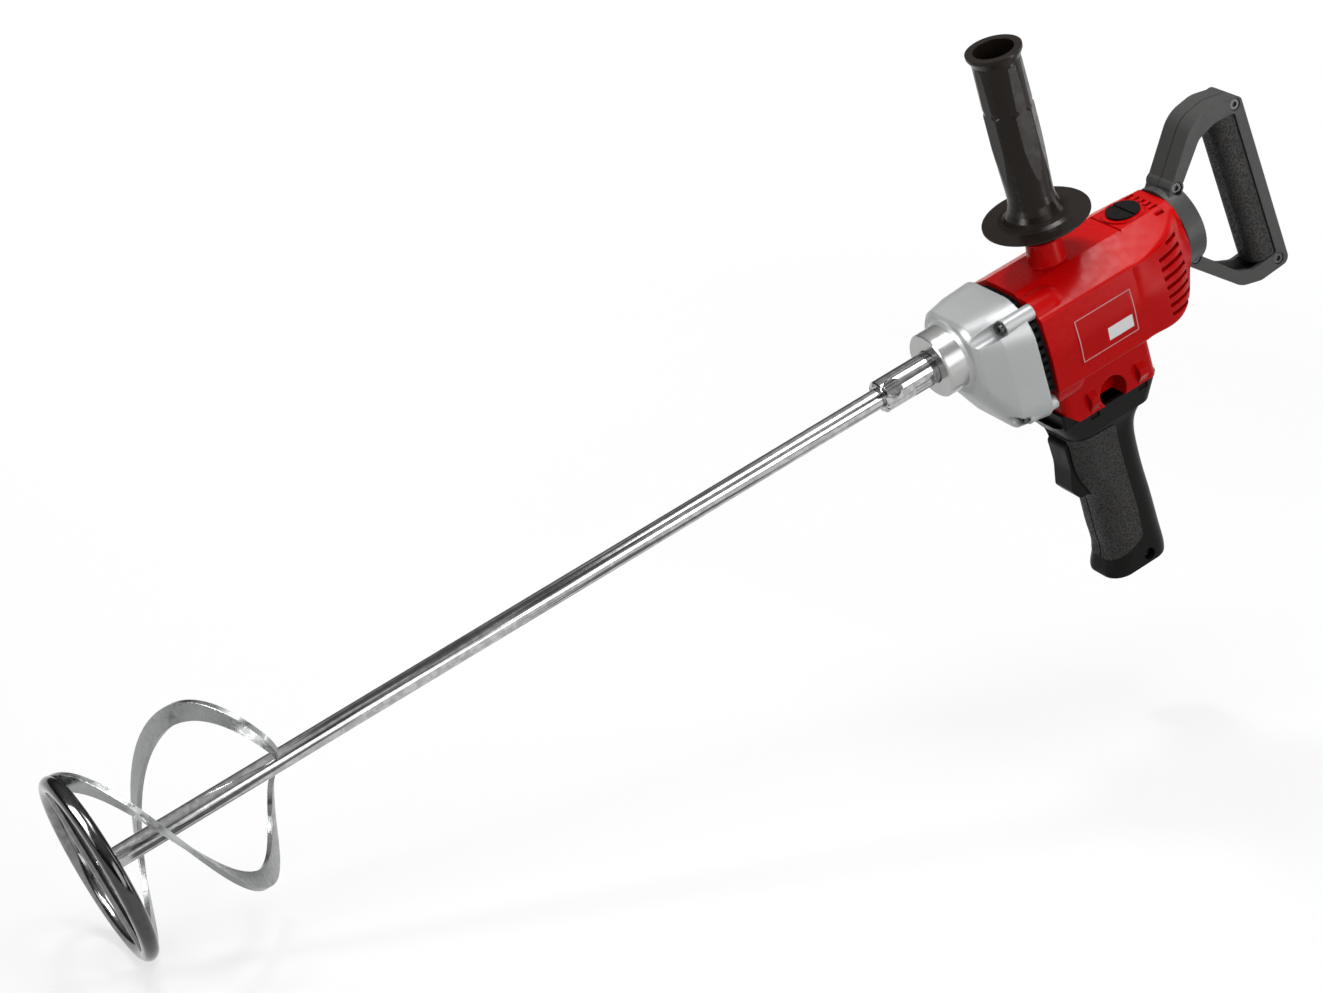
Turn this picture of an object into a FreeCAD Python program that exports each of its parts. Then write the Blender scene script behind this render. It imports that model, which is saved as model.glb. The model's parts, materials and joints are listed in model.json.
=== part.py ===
import FreeCAD, Part
import math
import os

# Hand-held mixing drill with a ribbon paddle.
# Millimetres. X runs from the paddle to the rear handle, Z is up, and -Y is the tool's left side.
# The origin is the middle of the stand collar's wall, on the spindle axis.

Vec = FreeCAD.Vector
along_x = Vec(1, 0, 0)
along_y = Vec(0, 1, 0)
along_z = Vec(0, 0, 1)

# Clearances
overrun = 2.0           # how far a cut runs past the face that it opens
seat_gap = 0.05         # radial room of a fixed piece in its seat
run_gap = 0.06          # radial room of a turning shaft, ring or ball
free_gap = 0.5          # room round pieces that move past each other

# Stand collar and gear housing
collar_dia = 43.0
collar_length = 16.0
collar_chamfer = 1.0
collar_foot = 2.0       # ring that widens the collar where it meets the nose
gear_housing_length = 38.5
flange_half_width = 39.0
flange_top = 26.0
flange_bottom = -59.5
flange_corner = 26.0
flange_low_corner = 18.0
# Place along the housing, then half width, top, bottom and corners, as shares of the flange's
nose_section_shares = (
    (0.00, 0.60, 0.75, 0.445, 0.65),
    (0.03, 0.66, 0.885, 0.485, 0.65),
    (0.10, 0.72, 0.95, 0.57, 0.65),
    (0.48, 0.89, 0.99, 0.98, 0.85),
    (1.00, 1.00, 1.00, 1.00, 1.00),
)
pocket_room = 1.0       # room between a gear's tips and its pocket
plate_thickness = 6.0
plate_radius = 29.5
plate_lift = 2.5        # how far the plate's centre stands above the motor axis
plate_proud = 2.5       # how far the plate stands out of the gear housing
plate_land = 1.0        # cover of the plate round the gear pockets
boss_wall = 3.0
boss_reach = 2.0        # how far the intermediate bush's boss stands out of the plate

# Exhaust ring between the gear housing and the motor housing
exhaust_gap = 7.0
exhaust_ring_set = 3.5  # inside the motor housing's outline
exhaust_ring_wall = 3.0
exhaust_slots = 40
exhaust_slot_width = 2.6
exhaust_bridge = 1.4    # wall left at both ends of a slot

# Housing screws
screw_radius = 2.0
screw_head_radius = 3.6
screw_head_height = 3.0
screw_socket_radius = 1.8
screw_socket_depth = 1.5
lug_radius = 5.2
lug_y = 29.2
lug_height = 16.4       # of the upper left lug above the spindle axis
low_lug_drop = 49.5     # of the lower lugs below the spindle axis
right_lug_y = 33.5      # the upper right lug sits lower on the case
right_lug_height = 7.5
lug_length = 22.0
screw_grip = 14.0       # screw length in the motor housing
groove_radius = 5.2

# Gears: module, teeth of the pinion, teeth of the wheel
pressure_angle = math.radians(28)
tooth_tip_share = 0.8
tooth_root_share = 1.05
tooth_backlash = 0.25
flank_steps = 4
motor_drop = 15.0       # motor axis below the spindle axis
first_module = 0.8
first_pinion_teeth = 8
first_wheel_teeth = 35
second_module = 1.25
second_pinion_teeth = 9
second_wheel_teeth = 34
output_gear_set = 11.0  # from the collar's foot to the output gear
output_gear_width = 11.0
stage_gap = 2.0
intermediate_gear_width = 8.0
pinion_overhang = 0.5

# Spindle, its bearing and its seal
spindle_radius = 10.6
spindle_reach = 40.0    # in front of the collar
spindle_seat_radius = 8.5
spindle_tail_radius = 6.0
front_bearing_set = 10.0
front_bearing_width = 10.0
front_bearing_radius = 17.5
spindle_bush_length = 8.0
bush_wall = 2.0
seal_set = 3.0          # wall of the collar in front of the seal
seal_width = 6.0
seal_radius = 16.0
seal_lip = 2.0
circlip_width = 1.3
circlip_height = 2.0
spacer_wall = 2.5
key_width = 5.0
key_height = 2.4
flat_set = 4.0          # from the collar to the spanner flats
flat_length = 15.0
flat_half_width = 9.0
flat_turn = 205.0       # angle of the spanner flats about the spindle axis

# Intermediate shaft
journal_radius = 4.0
intermediate_bush_length = 5.0

# Armature and its bearings
armature_bearing_radius = 11.0
armature_bearing_width = 7.0
armature_journal_radius = 4.0
armature_shaft_radius = 6.0
armature_radius = 21.8
armature_slots = 12
armature_slot_width = 3.0
armature_slot_depth = 8.0
winding_gap = 0.2
winding_reach = 7.0     # how far the windings' ends stand out of the core
winding_radius = 19.0
winding_inner_radius = 9.0
commutator_radius = 14.0
commutator_length = 22.0
commutator_bars = 24
commutator_slit = 0.6
commutator_slit_depth = 1.2
riser_radius = 16.0
riser_length = 3.0
fan_set = 2.5           # behind the front of the motor housing
fan_radius = 33.0
fan_width = 10.5
fan_disc = 1.6
fan_blades = 14
fan_blade_thickness = 1.8
fan_eye_radius = 15.0
fan_hub_radius = 10.0

# Stator
stator_set = 22.5       # behind the front of the motor housing
stator_length = 50.0
stator_radius = 36.0
stator_yoke = 7.5
air_gap = 0.5
pole_half_angle = 42.0
coil_half_angle = 78.0
coil_side_angle = 44.0
coil_gap = 0.6
coil_reach = 5.5
stator_screw_place = 31.8
stator_boss_length = 14.0
stator_boss_radius = 5.0
baffle_set = 14.5
baffle_thickness = 1.6
baffle_eye_radius = 24.0

# Motor housing
motor_housing_length = 123.5
housing_half_width = 40.0
housing_top = 24.5
strip_half_width = 15.0
shoulder_half_width = 38.0
shoulder_height = 12.0  # above the spindle axis, where the upper facet meets the side
edge_round = 2.5
side_round = 60.0
stator_fit = 0.1
rear_cavity_radius = 30.5
rear_cavity_set = 19.0  # from the rear of the motor housing
rear_throat_radius = 20.0
rear_wall = 6.0
rear_boss_wall = 3.5
rear_boss_reach = 5.0
bearing_floor = 3.0
seam_width = 0.9        # groove across the top strip where the rear starts
seam_depth = 0.8

# Round rear end of the motor housing: half widths and heights of its corners
rear_start = 84.0       # behind the front of the motor housing
rear_top_half_width = 13.0
rear_shoulder_half_width = 22.0
rear_shoulder_height = 19.5
rear_half_width = 30.0
rear_height = -3.0
rear_low_half_width = 23.5
rear_low_height = -22.0
rear_bottom_half_width = 11.0
rear_bottom = -31.5
rear_round = 12.0
# Place along the rear, then how far the upper, side and lower corners have moved in, as shares
rear_blend_shares = (
    (-0.30, 0.00, 0.00, 0.00), (0.00, 0.00, 0.00, 0.00), (0.31, 0.17, 0.10, 0.01),
    (0.60, 0.42, 0.40, 0.20), (0.83, 0.78, 0.85, 0.60), (1.00, 1.00, 1.00, 1.00),
)

# Bosses and spigot of the motor housing
housing_boss_length = 15.0
housing_boss_radius = 13.5
housing_boss_cover = 3.6  # from the screw axis to the crest of its low boss
spigot_height = 17.0    # of the rear spigot's axis above the motor axis
spigot_radius = 15.0
spigot_length = 6.0
spigot_rim_radius = 19.0
spigot_rim_length = 3.5

# Vents
vent_count = 9
vent_pitch = 6.5
vent_width = 2.8
vent_length = 21.0
vent_short_share = 0.55  # length of the first and last vent
vent_rear_set = 9.5     # from the rear of the motor housing
vent_top = 10.2
vent_depth = 24.0
top_vent_count = 7
top_vent_pitch = 5.9
top_vent_width = 2.4
top_vent_length = 6.3
top_vent_rear_set = 6.5
top_vent_depth = 9.0

# Brush gear
brush_set = 24.0        # from the rear of the motor housing
brush_width = 8.0
brush_thickness = 6.0
brush_length = 14.0
brush_lift = 0.1
holder_wall = 1.2
holder_length = 16.0
brush_boss_radius = 11.0
brush_boss_set = 3.0    # from the commutator to the foot of the boss
spring_wire = 0.7
spring_radius = 2.2
spring_pitch = 1.6
cap_radius = 11.1
cap_height = 1.4
cap_plug_radius = 8.3
cap_plug_length = 5.0
cap_slot_width = 2.2
cap_slot_depth = 0.9
cap_rim = 3.0
cap_rim_height = 0.8
cap_rim_root = 10.0

# Side handle
side_handle_set = 38.0  # from the front of the motor housing
boss_foot_radius = 12.4
boss_top_radius = 10.9
boss_height = 15.0
insert_radius = 8.0
stud_radius = 6.0
handle_length = 133.0   # from the boss to the open end
handle_neck_radius = 8.5
handle_neck_length = 14.0
handle_disc_radius = 34.4
handle_disc_rim = 2.0
handle_radius = 15.6
handle_rim_radius = 17.7
handle_bore_radius = 12.8
handle_floor = 37.0     # from the boss to the floor of the bore
handle_flats = 8
handle_flat_share = 0.965
handle_flat_bottom_share = 0.235
handle_flat_top_share = 0.935
# Radius and height of the moulded grip's outline, as shares
handle_outline_shares = (
    (1.55, 0.127), (1.36, 0.137), (1.20, 0.153), (1.07, 0.178), (0.98, 0.210), (0.94, 0.250),
    (0.95, 0.300), (1.03, 0.520), (1.03, 0.690), (0.98, 0.700), (0.98, 0.712), (1.00, 0.720),
    (0.98, 0.950),
)

# Neck under the motor housing
neck_half_width = 26.0
neck_set = 7.0          # behind the front of the motor housing
neck_length = 73.5
neck_drop = 62.0        # from the motor axis to the bottom of the neck
neck_wall = 3.0
neck_corner = 6.0
neck_slant = 9.0        # size of the slanted front corner
neck_root_drop = 25.0   # from the motor axis to where the neck starts
wire_way_drop = 32.0    # from the motor axis to the top of the neck's hollow
recess_set = 38.1       # behind the front of the neck
recess_height = 7.0     # above the bottom of the neck
recess_radius = 10.6
recess_depth = 14.0
recess_wall = 2.0
catch_set = 3.0         # middle of the catches behind the recess
catch_spread = 19.6
catch_width = 6.5
catch_top = 16.5        # above the bottom of the neck
catch_slope = 4.0
catch_nose = 4.5
catch_height = 15.0
catch_reach = 4.5

# Pistol grip
grip_set = 14.0         # behind the front of the neck
grip_depth = 43.5
grip_half_width = 18.0
grip_corner = 13.0
grip_length = 132.0
grip_wall = 2.8
# Drop, front, rear and half width of the grip's sections, as shares of length, depth and half width
grip_section_shares = (
    (0.084, -0.20, 1.33, 1.22), (0.158, -0.20, 1.12, 1.10), (0.253, -0.20, 1.00, 1.00),
    (0.340, -0.19, 0.97, 1.00), (0.430, -0.11, 0.965, 1.00), (0.520, 0.00, 0.97, 1.00),
    (0.610, 0.03, 0.985, 1.00), (0.760, 0.03, 1.00, 1.00), (0.890, 0.025, 1.01, 1.00),
    (0.955, -0.05, 1.01, 1.02), (1.000, -0.09, 0.99, 1.02),
)
rim_height = 16.0
rim_half_width = 25.0
rim_corner = 10.0
rim_front_shares = (-0.45, -0.22)
rim_rear_shares = (1.44, 1.26)
rim_half_shares = (1.0, 0.9)
rim_notch_depth = 1.8   # notches of the rim under the catches
rim_notch_height = 5.0
tongue_height = 6.0
tongue_wall = 2.5
pad_depth = 1.0
pad_proud = 0.5
pad_inner_y = 0.6
# Outline of the soft pad: place along the depth and drop, as shares
pad_outline_shares = (
    (-0.30, 0.132), (0.54, 0.153), (0.54, 0.390), (0.575, 0.670), (0.55, 0.838), (-0.30, 0.950),
)
pad_corner = 4.0
grip_screw_set = 25.5   # behind the front of the grip
grip_screw_drop = 126.0
grip_screw_boss = 5.0
grip_hole_radius = 4.3
grip_hole_depth = 7.0
gland_set = 9.5         # behind the front of the grip
gland_bore_radius = 4.5
gland_radius = 7.5
gland_flange_radius = 8.7
gland_flange = 2.5
gland_length = 10.0

# Trigger and switch
trigger_travel = 7.0
trigger_lead = 11.5     # in front of the grip
trigger_depth = 10.0
trigger_top_drop = 20.0
trigger_height = 44.0
trigger_half_width = 9.0
trigger_lip = 2.5       # side lips that keep the trigger in the grip
trigger_lip_depth = 3.5
trigger_lip_drop = 5.0
trigger_lip_height = 24.0
# Front outline of the trigger: forward place, drop and rounding, as shares of depth and height
trigger_outline_shares = (
    (0.55, 0.00, 0.20), (0.05, 0.07, 0.40), (0.10, 0.48, 3.00), (-0.20, 0.84, 0.40),
    (0.25, 1.00, 0.30), (1.00, 1.02, 0.05), (1.00, -0.02, 0.05),
)
switch_length = 30.0
switch_half_width = 12.0
switch_height = 32.0
switch_drop = 23.0
plunger_radius = 2.5
plunger_length = 12.0
switch_rib = 5.0
lead_radius = 1.6
lead_spread = 6.0
lead_set = 12.0         # behind the front of the switch

# Rear handle
rear_handle_half_width = 12.0
rear_handle_wall = 3.0
hub_radius = 28.0
hub_height = -1.0       # of the hub's axis above the spindle axis
hub_length = 14.0       # behind the motor housing
hub_gap = 0.5           # between the motor housing and the hub
hub_wall = 4.0
handle_reach = 80.0     # depth of the handle
handle_set = 2.4        # from the motor housing to the front of the handle
handle_height = -0.6    # middle of the handle above the spindle axis
handle_rise = 66.0      # half height of the handle
# Corners of the frame: place, height and rounding, as shares of the reach, rise and rise
frame_outer_shares = (
    (0.00, 0.36, 0.03), (0.375, 0.97, 0.34), (0.62, 1.02, 0.30), (0.875, 0.955, 0.06),
    (1.005, -0.985, 0.08), (0.70, -1.015, 0.20), (0.50, -0.95, 0.26), (0.05, -0.42, 0.03),
)
frame_inner_shares = (
    (0.12, 0.36, 0.03), (0.41, 0.77, 0.14), (0.58, 0.835, 0.20), (0.785, 0.82, 0.03),
    (0.895, -0.83, 0.03), (0.64, -0.855, 0.14), (0.50, -0.78, 0.20), (0.15, -0.36, 0.03),
)
bar_half_width = 11.3
bar_depth = 17.0
bar_corner = 9.0
bar_back_corner = 1.5
core_half_width = 5.0
core_depth = 9.0
core_corner = 2.0
# Screws of the rear handle: place and height, as shares of the reach and rise
frame_screw_shares = ((0.105, 0.42), (0.805, 0.90), (0.905, -0.90), (0.135, -0.385))
frame_screw_boss = 5.4
frame_hole_radius = 4.0
frame_hole_depth = 3.5
frame_screw_length = 16.0

# Paddle
rod_radius = 6.5
rod_socket = 33.0       # rod length inside the spindle
paddle_reach = 597.4    # from the origin to the ring's plane
ring_radius = 54.5
ring_wire = 5.0
cross_bar_radius = 4.0
paddle_turn = 56.0      # angle of the cross bar about the spindle axis
ribbon_width = 11.5
ribbon_thickness = 3.0
ribbon_outer_radius = 59.0
ribbon_length = 116.0
ribbon_quarter = 38.5   # length of a quarter turn
ribbon_taper_share = 0.66
ribbon_taper_power = 2.5
ribbon_steps = 26
ribbon_sway = 12.0      # angle by which the helix leads and lags over its length
clamp_bolt_set = 5.5    # from the spindle's end
clamp_bolt_turn = 143.0
clamp_bolt_radius = 3.0
clamp_head_flats = 11.0
clamp_head_height = 5.5
clamp_spot_depth = 0.6
clamp_dimple = 2.0

# Proportions of round corners, ball bearings and hexagons
corner_room_share = 0.49
bearing_ball_share = 0.27
bearing_land_share = 0.16
ball_spacing_share = 1.35
hexagon_share = 1 / math.sqrt(3)

# Places along X that follow from the sizes above
collar_radius = collar_dia / 2
collar_front_x = -collar_length / 2
collar_rear_x = collar_length / 2
flange_x = collar_rear_x + gear_housing_length
motor_x = flange_x + exhaust_gap
motor_rear_x = motor_x + motor_housing_length
motor_z = -motor_drop
plate_rear_x = flange_x + plate_proud
plate_x = plate_rear_x - plate_thickness
spindle_front_x = collar_front_x - spindle_reach
front_bearing_x = collar_front_x + front_bearing_set
front_bearing_rear_x = front_bearing_x + front_bearing_width
output_gear_x = collar_rear_x + output_gear_set
output_gear_rear_x = output_gear_x + output_gear_width
gear_cavity_x = output_gear_x - circlip_width
intermediate_gear_x = output_gear_rear_x + stage_gap
intermediate_gear_rear_x = intermediate_gear_x + intermediate_gear_width
spindle_bush_rear_x = plate_x + bush_wall
spindle_bush_x = spindle_bush_rear_x - spindle_bush_length
armature_bearing_x = motor_x - armature_bearing_width
fan_x = motor_x + fan_set
fan_rear_x = fan_x + fan_width
stator_x = motor_x + stator_set
stator_rear_x = stator_x + stator_length
brush_x = motor_rear_x - brush_set
commutator_x = brush_x - commutator_length / 2
commutator_rear_x = brush_x + commutator_length / 2
rear_bearing_rear_x = motor_rear_x - bearing_floor
rear_bearing_x = rear_bearing_rear_x - armature_bearing_width
rear_wall_x = motor_rear_x - rear_wall
rear_start_x = motor_x + rear_start
side_handle_x = motor_x + side_handle_set
boss_top_z = housing_top + boss_height
handle_top_z = boss_top_z + handle_length
ring_x = -paddle_reach
spigot_z = motor_z + spigot_height
neck_x = motor_x + neck_set
neck_bottom = motor_z - neck_drop
neck_root = motor_z - neck_root_drop
wire_way_top = motor_z - wire_way_drop
recess_x = neck_x + recess_set
recess_z = neck_bottom + recess_height
grip_front = neck_x + grip_set
grip_screw_x = grip_front + grip_screw_set
gland_x = grip_front + gland_set
trigger_front = grip_front - trigger_lead
trigger_top_z = neck_bottom - trigger_top_drop
trigger_rear_x = trigger_front + trigger_depth
switch_x = trigger_rear_x + trigger_travel + free_gap
switch_top_z = neck_bottom - switch_drop

# Gear centres: the intermediate axis lies where the two centre distances meet
first_distance = first_module * (first_pinion_teeth + first_wheel_teeth) / 2
second_distance = second_module * (second_pinion_teeth + second_wheel_teeth) / 2
intermediate_z = (first_distance ** 2 - second_distance ** 2 - motor_drop ** 2) / (2 * motor_drop)
intermediate_y = math.sqrt(second_distance ** 2 - intermediate_z ** 2)


# Plain solids

def rod_x(x0, x1, radius, y=0, z=0):
    return Part.makeCylinder(radius, x1 - x0, Vec(x0, y, z), along_x)


def rod_y(y0, y1, radius, x=0, z=0):
    return Part.makeCylinder(radius, y1 - y0, Vec(x, y0, z), along_y)


def rod_z(z0, z1, radius, x=0, y=0):
    return Part.makeCylinder(radius, z1 - z0, Vec(x, y, z0), along_z)


def tube_x(x0, x1, outer, inner, y=0, z=0):
    return rod_x(x0, x1, outer, y, z).cut(rod_x(x0 - overrun, x1 + overrun, inner, y, z))


def block(x0, x1, y0, y1, z0, z1):
    return Part.makeBox(x1 - x0, y1 - y0, z1 - z0, Vec(x0, y0, z0))


def turned_x(outline, z=0):
    """Solid of revolution about the X line at height z, from (x, radius) points."""
    points = [Vec(x, 0, z + radius) for x, radius in outline]
    face = Part.Face(Part.makePolygon(points + points[:1]))
    return face.revolve(Vec(0, 0, z), along_x, 360)


def turned_z(outline, x):
    """Solid of revolution about the Z line at place x, from (radius, z) points."""
    points = [Vec(x + radius, 0, z) for radius, z in outline]
    face = Part.Face(Part.makePolygon(points + points[:1]))
    return face.revolve(Vec(x, 0, 0), along_z, 360)


def sector_x(x0, x1, inner, outer, from_angle, to_angle, z):
    """Piece of a tube between two angles, which are counted from +Z towards -Y."""
    corners = [Vec(x0, 0, z + inner), Vec(x1, 0, z + inner), Vec(x1, 0, z + outer), Vec(x0, 0, z + outer)]
    face = Part.Face(Part.makePolygon(corners + corners[:1]))
    centre = Vec(0, 0, z)
    face.rotate(centre, along_x, from_angle)
    return face.revolve(centre, along_x, to_angle - from_angle)


def rounded_wire(corners, to_space):
    """Closed wire through flat corners (u, v, radius), each rounded as far as its sides allow."""
    flat = [Vec(u, v, 0) for u, v, radius in corners]
    rounds = []
    for index, corner in enumerate(corners):
        here = flat[index]
        back = flat[index - 1] - here
        ahead = flat[(index + 1) % len(flat)] - here
        half = back.getAngle(ahead) / 2
        room = min(back.Length, ahead.Length) * corner_room_share
        run = min(corner[2] / math.tan(half), room)
        back.normalize()
        ahead.normalize()
        middle = back + ahead
        middle.normalize()
        depth = run / math.cos(half) - run * math.tan(half)
        rounds.append((here + back * run, here + middle * depth, here + ahead * run))
    edges = []
    for index, (start, middle, end) in enumerate(rounds):
        before = rounds[index - 1][2]
        edges.append(Part.LineSegment(to_space(before), to_space(start)).toShape())
        edges.append(Part.Arc(to_space(start), to_space(middle), to_space(end)).toShape())
    return Part.Wire(edges)


def in_section(x):
    return lambda point: Vec(x, point.x, point.y)


def in_side_view(y):
    return lambda point: Vec(point.x, y, point.y)


def in_plan(z):
    return lambda point: Vec(point.x, point.y, z)


def slab_x(corners, x0, x1):
    return Part.Face(rounded_wire(corners, in_section(x0))).extrude(along_x * (x1 - x0))


def slab_y(corners, y0, y1):
    return Part.Face(rounded_wire(corners, in_side_view(y0))).extrude(along_y * (y1 - y0))


def slab_z(corners, z0, z1):
    return Part.Face(rounded_wire(corners, in_plan(z0))).extrude(along_z * (z1 - z0))


def box_corners(u0, u1, v0, v1, radius):
    return [(u0, v0, radius), (u1, v0, radius), (u1, v1, radius), (u0, v1, radius)]


def moved_in(corners, distance):
    """The same outline with each side moved inwards, for corners that run clockwise or not."""
    flat = [Vec(u, v, 0) for u, v, radius in corners]
    count = len(flat)
    area = sum(flat[i - 1].x * flat[i].y - flat[i].x * flat[i - 1].y for i in range(count))
    side = math.copysign(distance, area)
    result = []
    for index, corner in enumerate(corners):
        here = flat[index]
        back = here - flat[index - 1]
        ahead = flat[(index + 1) % count] - here
        back.normalize()
        ahead.normalize()
        inward = Vec(-back.y - ahead.y, back.x + ahead.x, 0)
        inward.normalize()
        reach = side / (inward.x * -ahead.y + inward.y * ahead.x)
        place = here + inward * reach
        result.append((place.x, place.y, corner[2]))
    return result


def joined(shapes):
    return shapes[0].multiFuse(shapes[1:]).removeSplitter()


def group(shapes):
    return Part.makeCompound(shapes)


def mirrored_y(shape):
    return shape.mirror(Vec(0, 0, 0), along_y)


def mirrored_at_motor(shape):
    return shape.mirror(Vec(0, 0, motor_z), along_z)


def polar(radius, angle, y=0, z=0, x=0):
    return Vec(x, y + radius * math.cos(angle), z + radius * math.sin(angle))


def turned_about_spindle(shape, degrees):
    turned = shape.copy()
    turned.rotate(Vec(0, 0, 0), along_x, degrees)
    return turned


# Machine elements

def gear(teeth, module, x0, x1, y, z, turn):
    """Spur gear with involute flanks. One tooth points along the angle turn."""
    pitch = module * teeth / 2
    base = pitch * math.cos(pressure_angle)
    tip = pitch + tooth_tip_share * module
    root = pitch - tooth_root_share * module
    flank_start = max(base, root)
    half_at_pitch = math.pi / (2 * teeth) - tooth_backlash / (4 * pitch)
    half_at_base = half_at_pitch + math.tan(pressure_angle) - pressure_angle

    def half_angle(radius):
        slope = math.acos(min(1, base / radius))
        return half_at_base - math.tan(slope) + slope

    radii = [flank_start + (tip - flank_start) * step / flank_steps for step in range(flank_steps + 1)]
    edges = []
    for tooth in range(teeth):
        middle = turn + 2 * math.pi * tooth / teeth
        following = middle + 2 * math.pi / teeth
        rising = [polar(r, middle - half_angle(r), y, z, x0) for r in radii]
        falling = [polar(r, middle + half_angle(r), y, z, x0) for r in reversed(radii)]
        foot = polar(root, middle - half_angle(flank_start), y, z, x0)
        far_foot = polar(root, middle + half_angle(flank_start), y, z, x0)
        next_foot = polar(root, following - half_angle(flank_start), y, z, x0)
        valley = polar(root, middle + math.pi / teeth, y, z, x0)
        if root < base:
            edges.append(Part.LineSegment(foot, rising[0]).toShape())
        rise = Part.BSplineCurve()
        rise.interpolate(rising)
        edges.append(rise.toShape())
        edges.append(Part.Arc(rising[-1], polar(tip, middle, y, z, x0), falling[0]).toShape())
        fall = Part.BSplineCurve()
        fall.interpolate(falling)
        edges.append(fall.toShape())
        if root < base:
            edges.append(Part.LineSegment(falling[-1], far_foot).toShape())
        edges.append(Part.Arc(far_foot, valley, next_foot).toShape())
    return Part.Face(Part.Wire(edges)).extrude(along_x * (x1 - x0))


def ball_bearing(x0, width, inner, outer, z):
    """Outer ring, inner ring and balls of a deep-groove bearing on an X line."""
    depth = outer - inner
    pitch = (outer + inner) / 2
    ball = depth * bearing_ball_share
    land = depth * bearing_land_share
    middle = Vec(x0 + width / 2, 0, z)
    groove = Part.makeTorus(pitch, ball + run_gap, middle, along_x)
    outer_ring = tube_x(x0, x0 + width, outer, pitch + land, 0, z).cut(groove)
    inner_ring = tube_x(x0, x0 + width, pitch - land, inner, 0, z).cut(groove)
    count = int(math.pi * pitch / (ball * ball_spacing_share))
    angles = [2 * math.pi * index / count for index in range(count)]
    balls = [Part.makeSphere(ball, polar(pitch, angle, 0, z, middle.x)) for angle in angles]
    return outer_ring, inner_ring, balls


def hexagon(centre, radius, first, second):
    """Closed wire whose corners lie around the centre, the first one along the first direction."""
    angles = [k * math.pi / 3 for k in range(6)]
    corners = [centre + first * (radius * math.cos(a)) + second * (radius * math.sin(a)) for a in angles]
    return Part.makePolygon(corners + corners[:1])


def socket_screw(length, to_space):
    """Round-headed screw with a hexagon socket, head at the top and shank along -Z, then placed."""
    head = rod_z(0, screw_head_height, screw_head_radius)
    shank = rod_z(-length, 0, screw_radius)
    floor = Vec(0, 0, screw_head_height - screw_socket_depth)
    sides = hexagon(floor, screw_socket_radius, along_x, along_y)
    socket = Part.Face(sides).extrude(along_z * (screw_socket_depth + overrun))
    screw = joined([head, shank]).cut(socket)
    screw.Placement = to_space
    return screw


def facing(place, direction):
    return FreeCAD.Placement(place, FreeCAD.Rotation(along_z, direction))


# Gear case

def lug_places():
    return [(-lug_y, lug_height), (right_lug_y, right_lug_height),
            (-lug_y, -low_lug_drop), (lug_y, -low_lug_drop)]


def nose_section(share):
    place, half_share, top_share, bottom_share, corner_share = share
    half = flange_half_width * half_share
    low = flange_bottom * bottom_share
    high = flange_top * top_share
    top_corner = flange_corner * corner_share
    low_corner = top_corner + (flange_low_corner - flange_corner) * place
    corners = [(-half, low, low_corner), (half, low, low_corner),
               (half, high, top_corner), (-half, high, top_corner)]
    return rounded_wire(corners, in_section(collar_rear_x + gear_housing_length * place))


def gear_housing():
    nose = Part.makeLoft([nose_section(share) for share in nose_section_shares], True, True)
    collar = turned_x([
        (collar_front_x, 0), (collar_front_x, collar_radius - collar_chamfer),
        (collar_front_x + collar_chamfer, collar_radius), (collar_rear_x - collar_foot, collar_radius),
        (collar_rear_x, collar_radius + collar_foot), (front_bearing_rear_x, collar_radius + collar_foot),
        (front_bearing_rear_x, 0),
    ])
    lugs = [rod_x(motor_x - lug_length, motor_x, lug_radius, y, z) for y, z in lug_places()]
    case = joined([nose, collar] + lugs)
    seat_x = motor_x - lug_length
    cuts = [
        rod_x(collar_front_x - overrun, collar_rear_x, spindle_radius + free_gap),
        rod_x(collar_front_x + seal_set, front_bearing_x + overrun, seal_radius + seat_gap),
        rod_x(front_bearing_x, gear_cavity_x + overrun, front_bearing_radius + seat_gap),
        rod_x(front_bearing_rear_x, front_bearing_rear_x + circlip_width,
              front_bearing_radius + circlip_height / 2),
        rod_x(gear_cavity_x, flange_x, output_pocket()),
        rod_x(intermediate_gear_x - pocket_room, flange_x, intermediate_pocket(),
              intermediate_y, intermediate_z),
        rod_x(gear_cavity_x, flange_x, gear_tip(second_module, second_pinion_teeth) + pocket_room,
              intermediate_y, intermediate_z),
        rod_x(gear_cavity_x - intermediate_bush_length, flange_x, journal_radius + bush_wall + seat_gap,
              intermediate_y, intermediate_z),
        rod_x(intermediate_gear_x - pocket_room, flange_x,
              gear_tip(first_module, first_pinion_teeth) + pocket_room, 0, motor_z),
    ]
    cuts += plate_discs(flange_x + overrun, flange_x + overrun, seat_gap)
    for y, z in lug_places():
        cuts.append(rod_x(collar_rear_x, seat_x, groove_radius, y, z))
        cuts.append(rod_x(seat_x - overrun, motor_x + overrun, screw_radius + seat_gap, y, z))
    return case.cut(group(cuts))


def gear_tip(module, teeth):
    return module * (teeth / 2 + tooth_tip_share)


def output_pocket():
    return gear_tip(second_module, second_wheel_teeth) + pocket_room


def intermediate_pocket():
    return gear_tip(first_module, first_wheel_teeth) + pocket_room


def plate_discs(disc_rear_x, cover_rear_x, grow):
    """Discs that make up the plate: the main one, and covers of the two gear pockets."""
    return [
        rod_x(plate_x, disc_rear_x, plate_radius + grow, 0, motor_z + plate_lift),
        rod_x(plate_x, cover_rear_x, output_pocket() + plate_land + grow),
        rod_x(plate_x, cover_rear_x, intermediate_pocket() + plate_land + grow,
              intermediate_y, intermediate_z),
    ]


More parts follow.
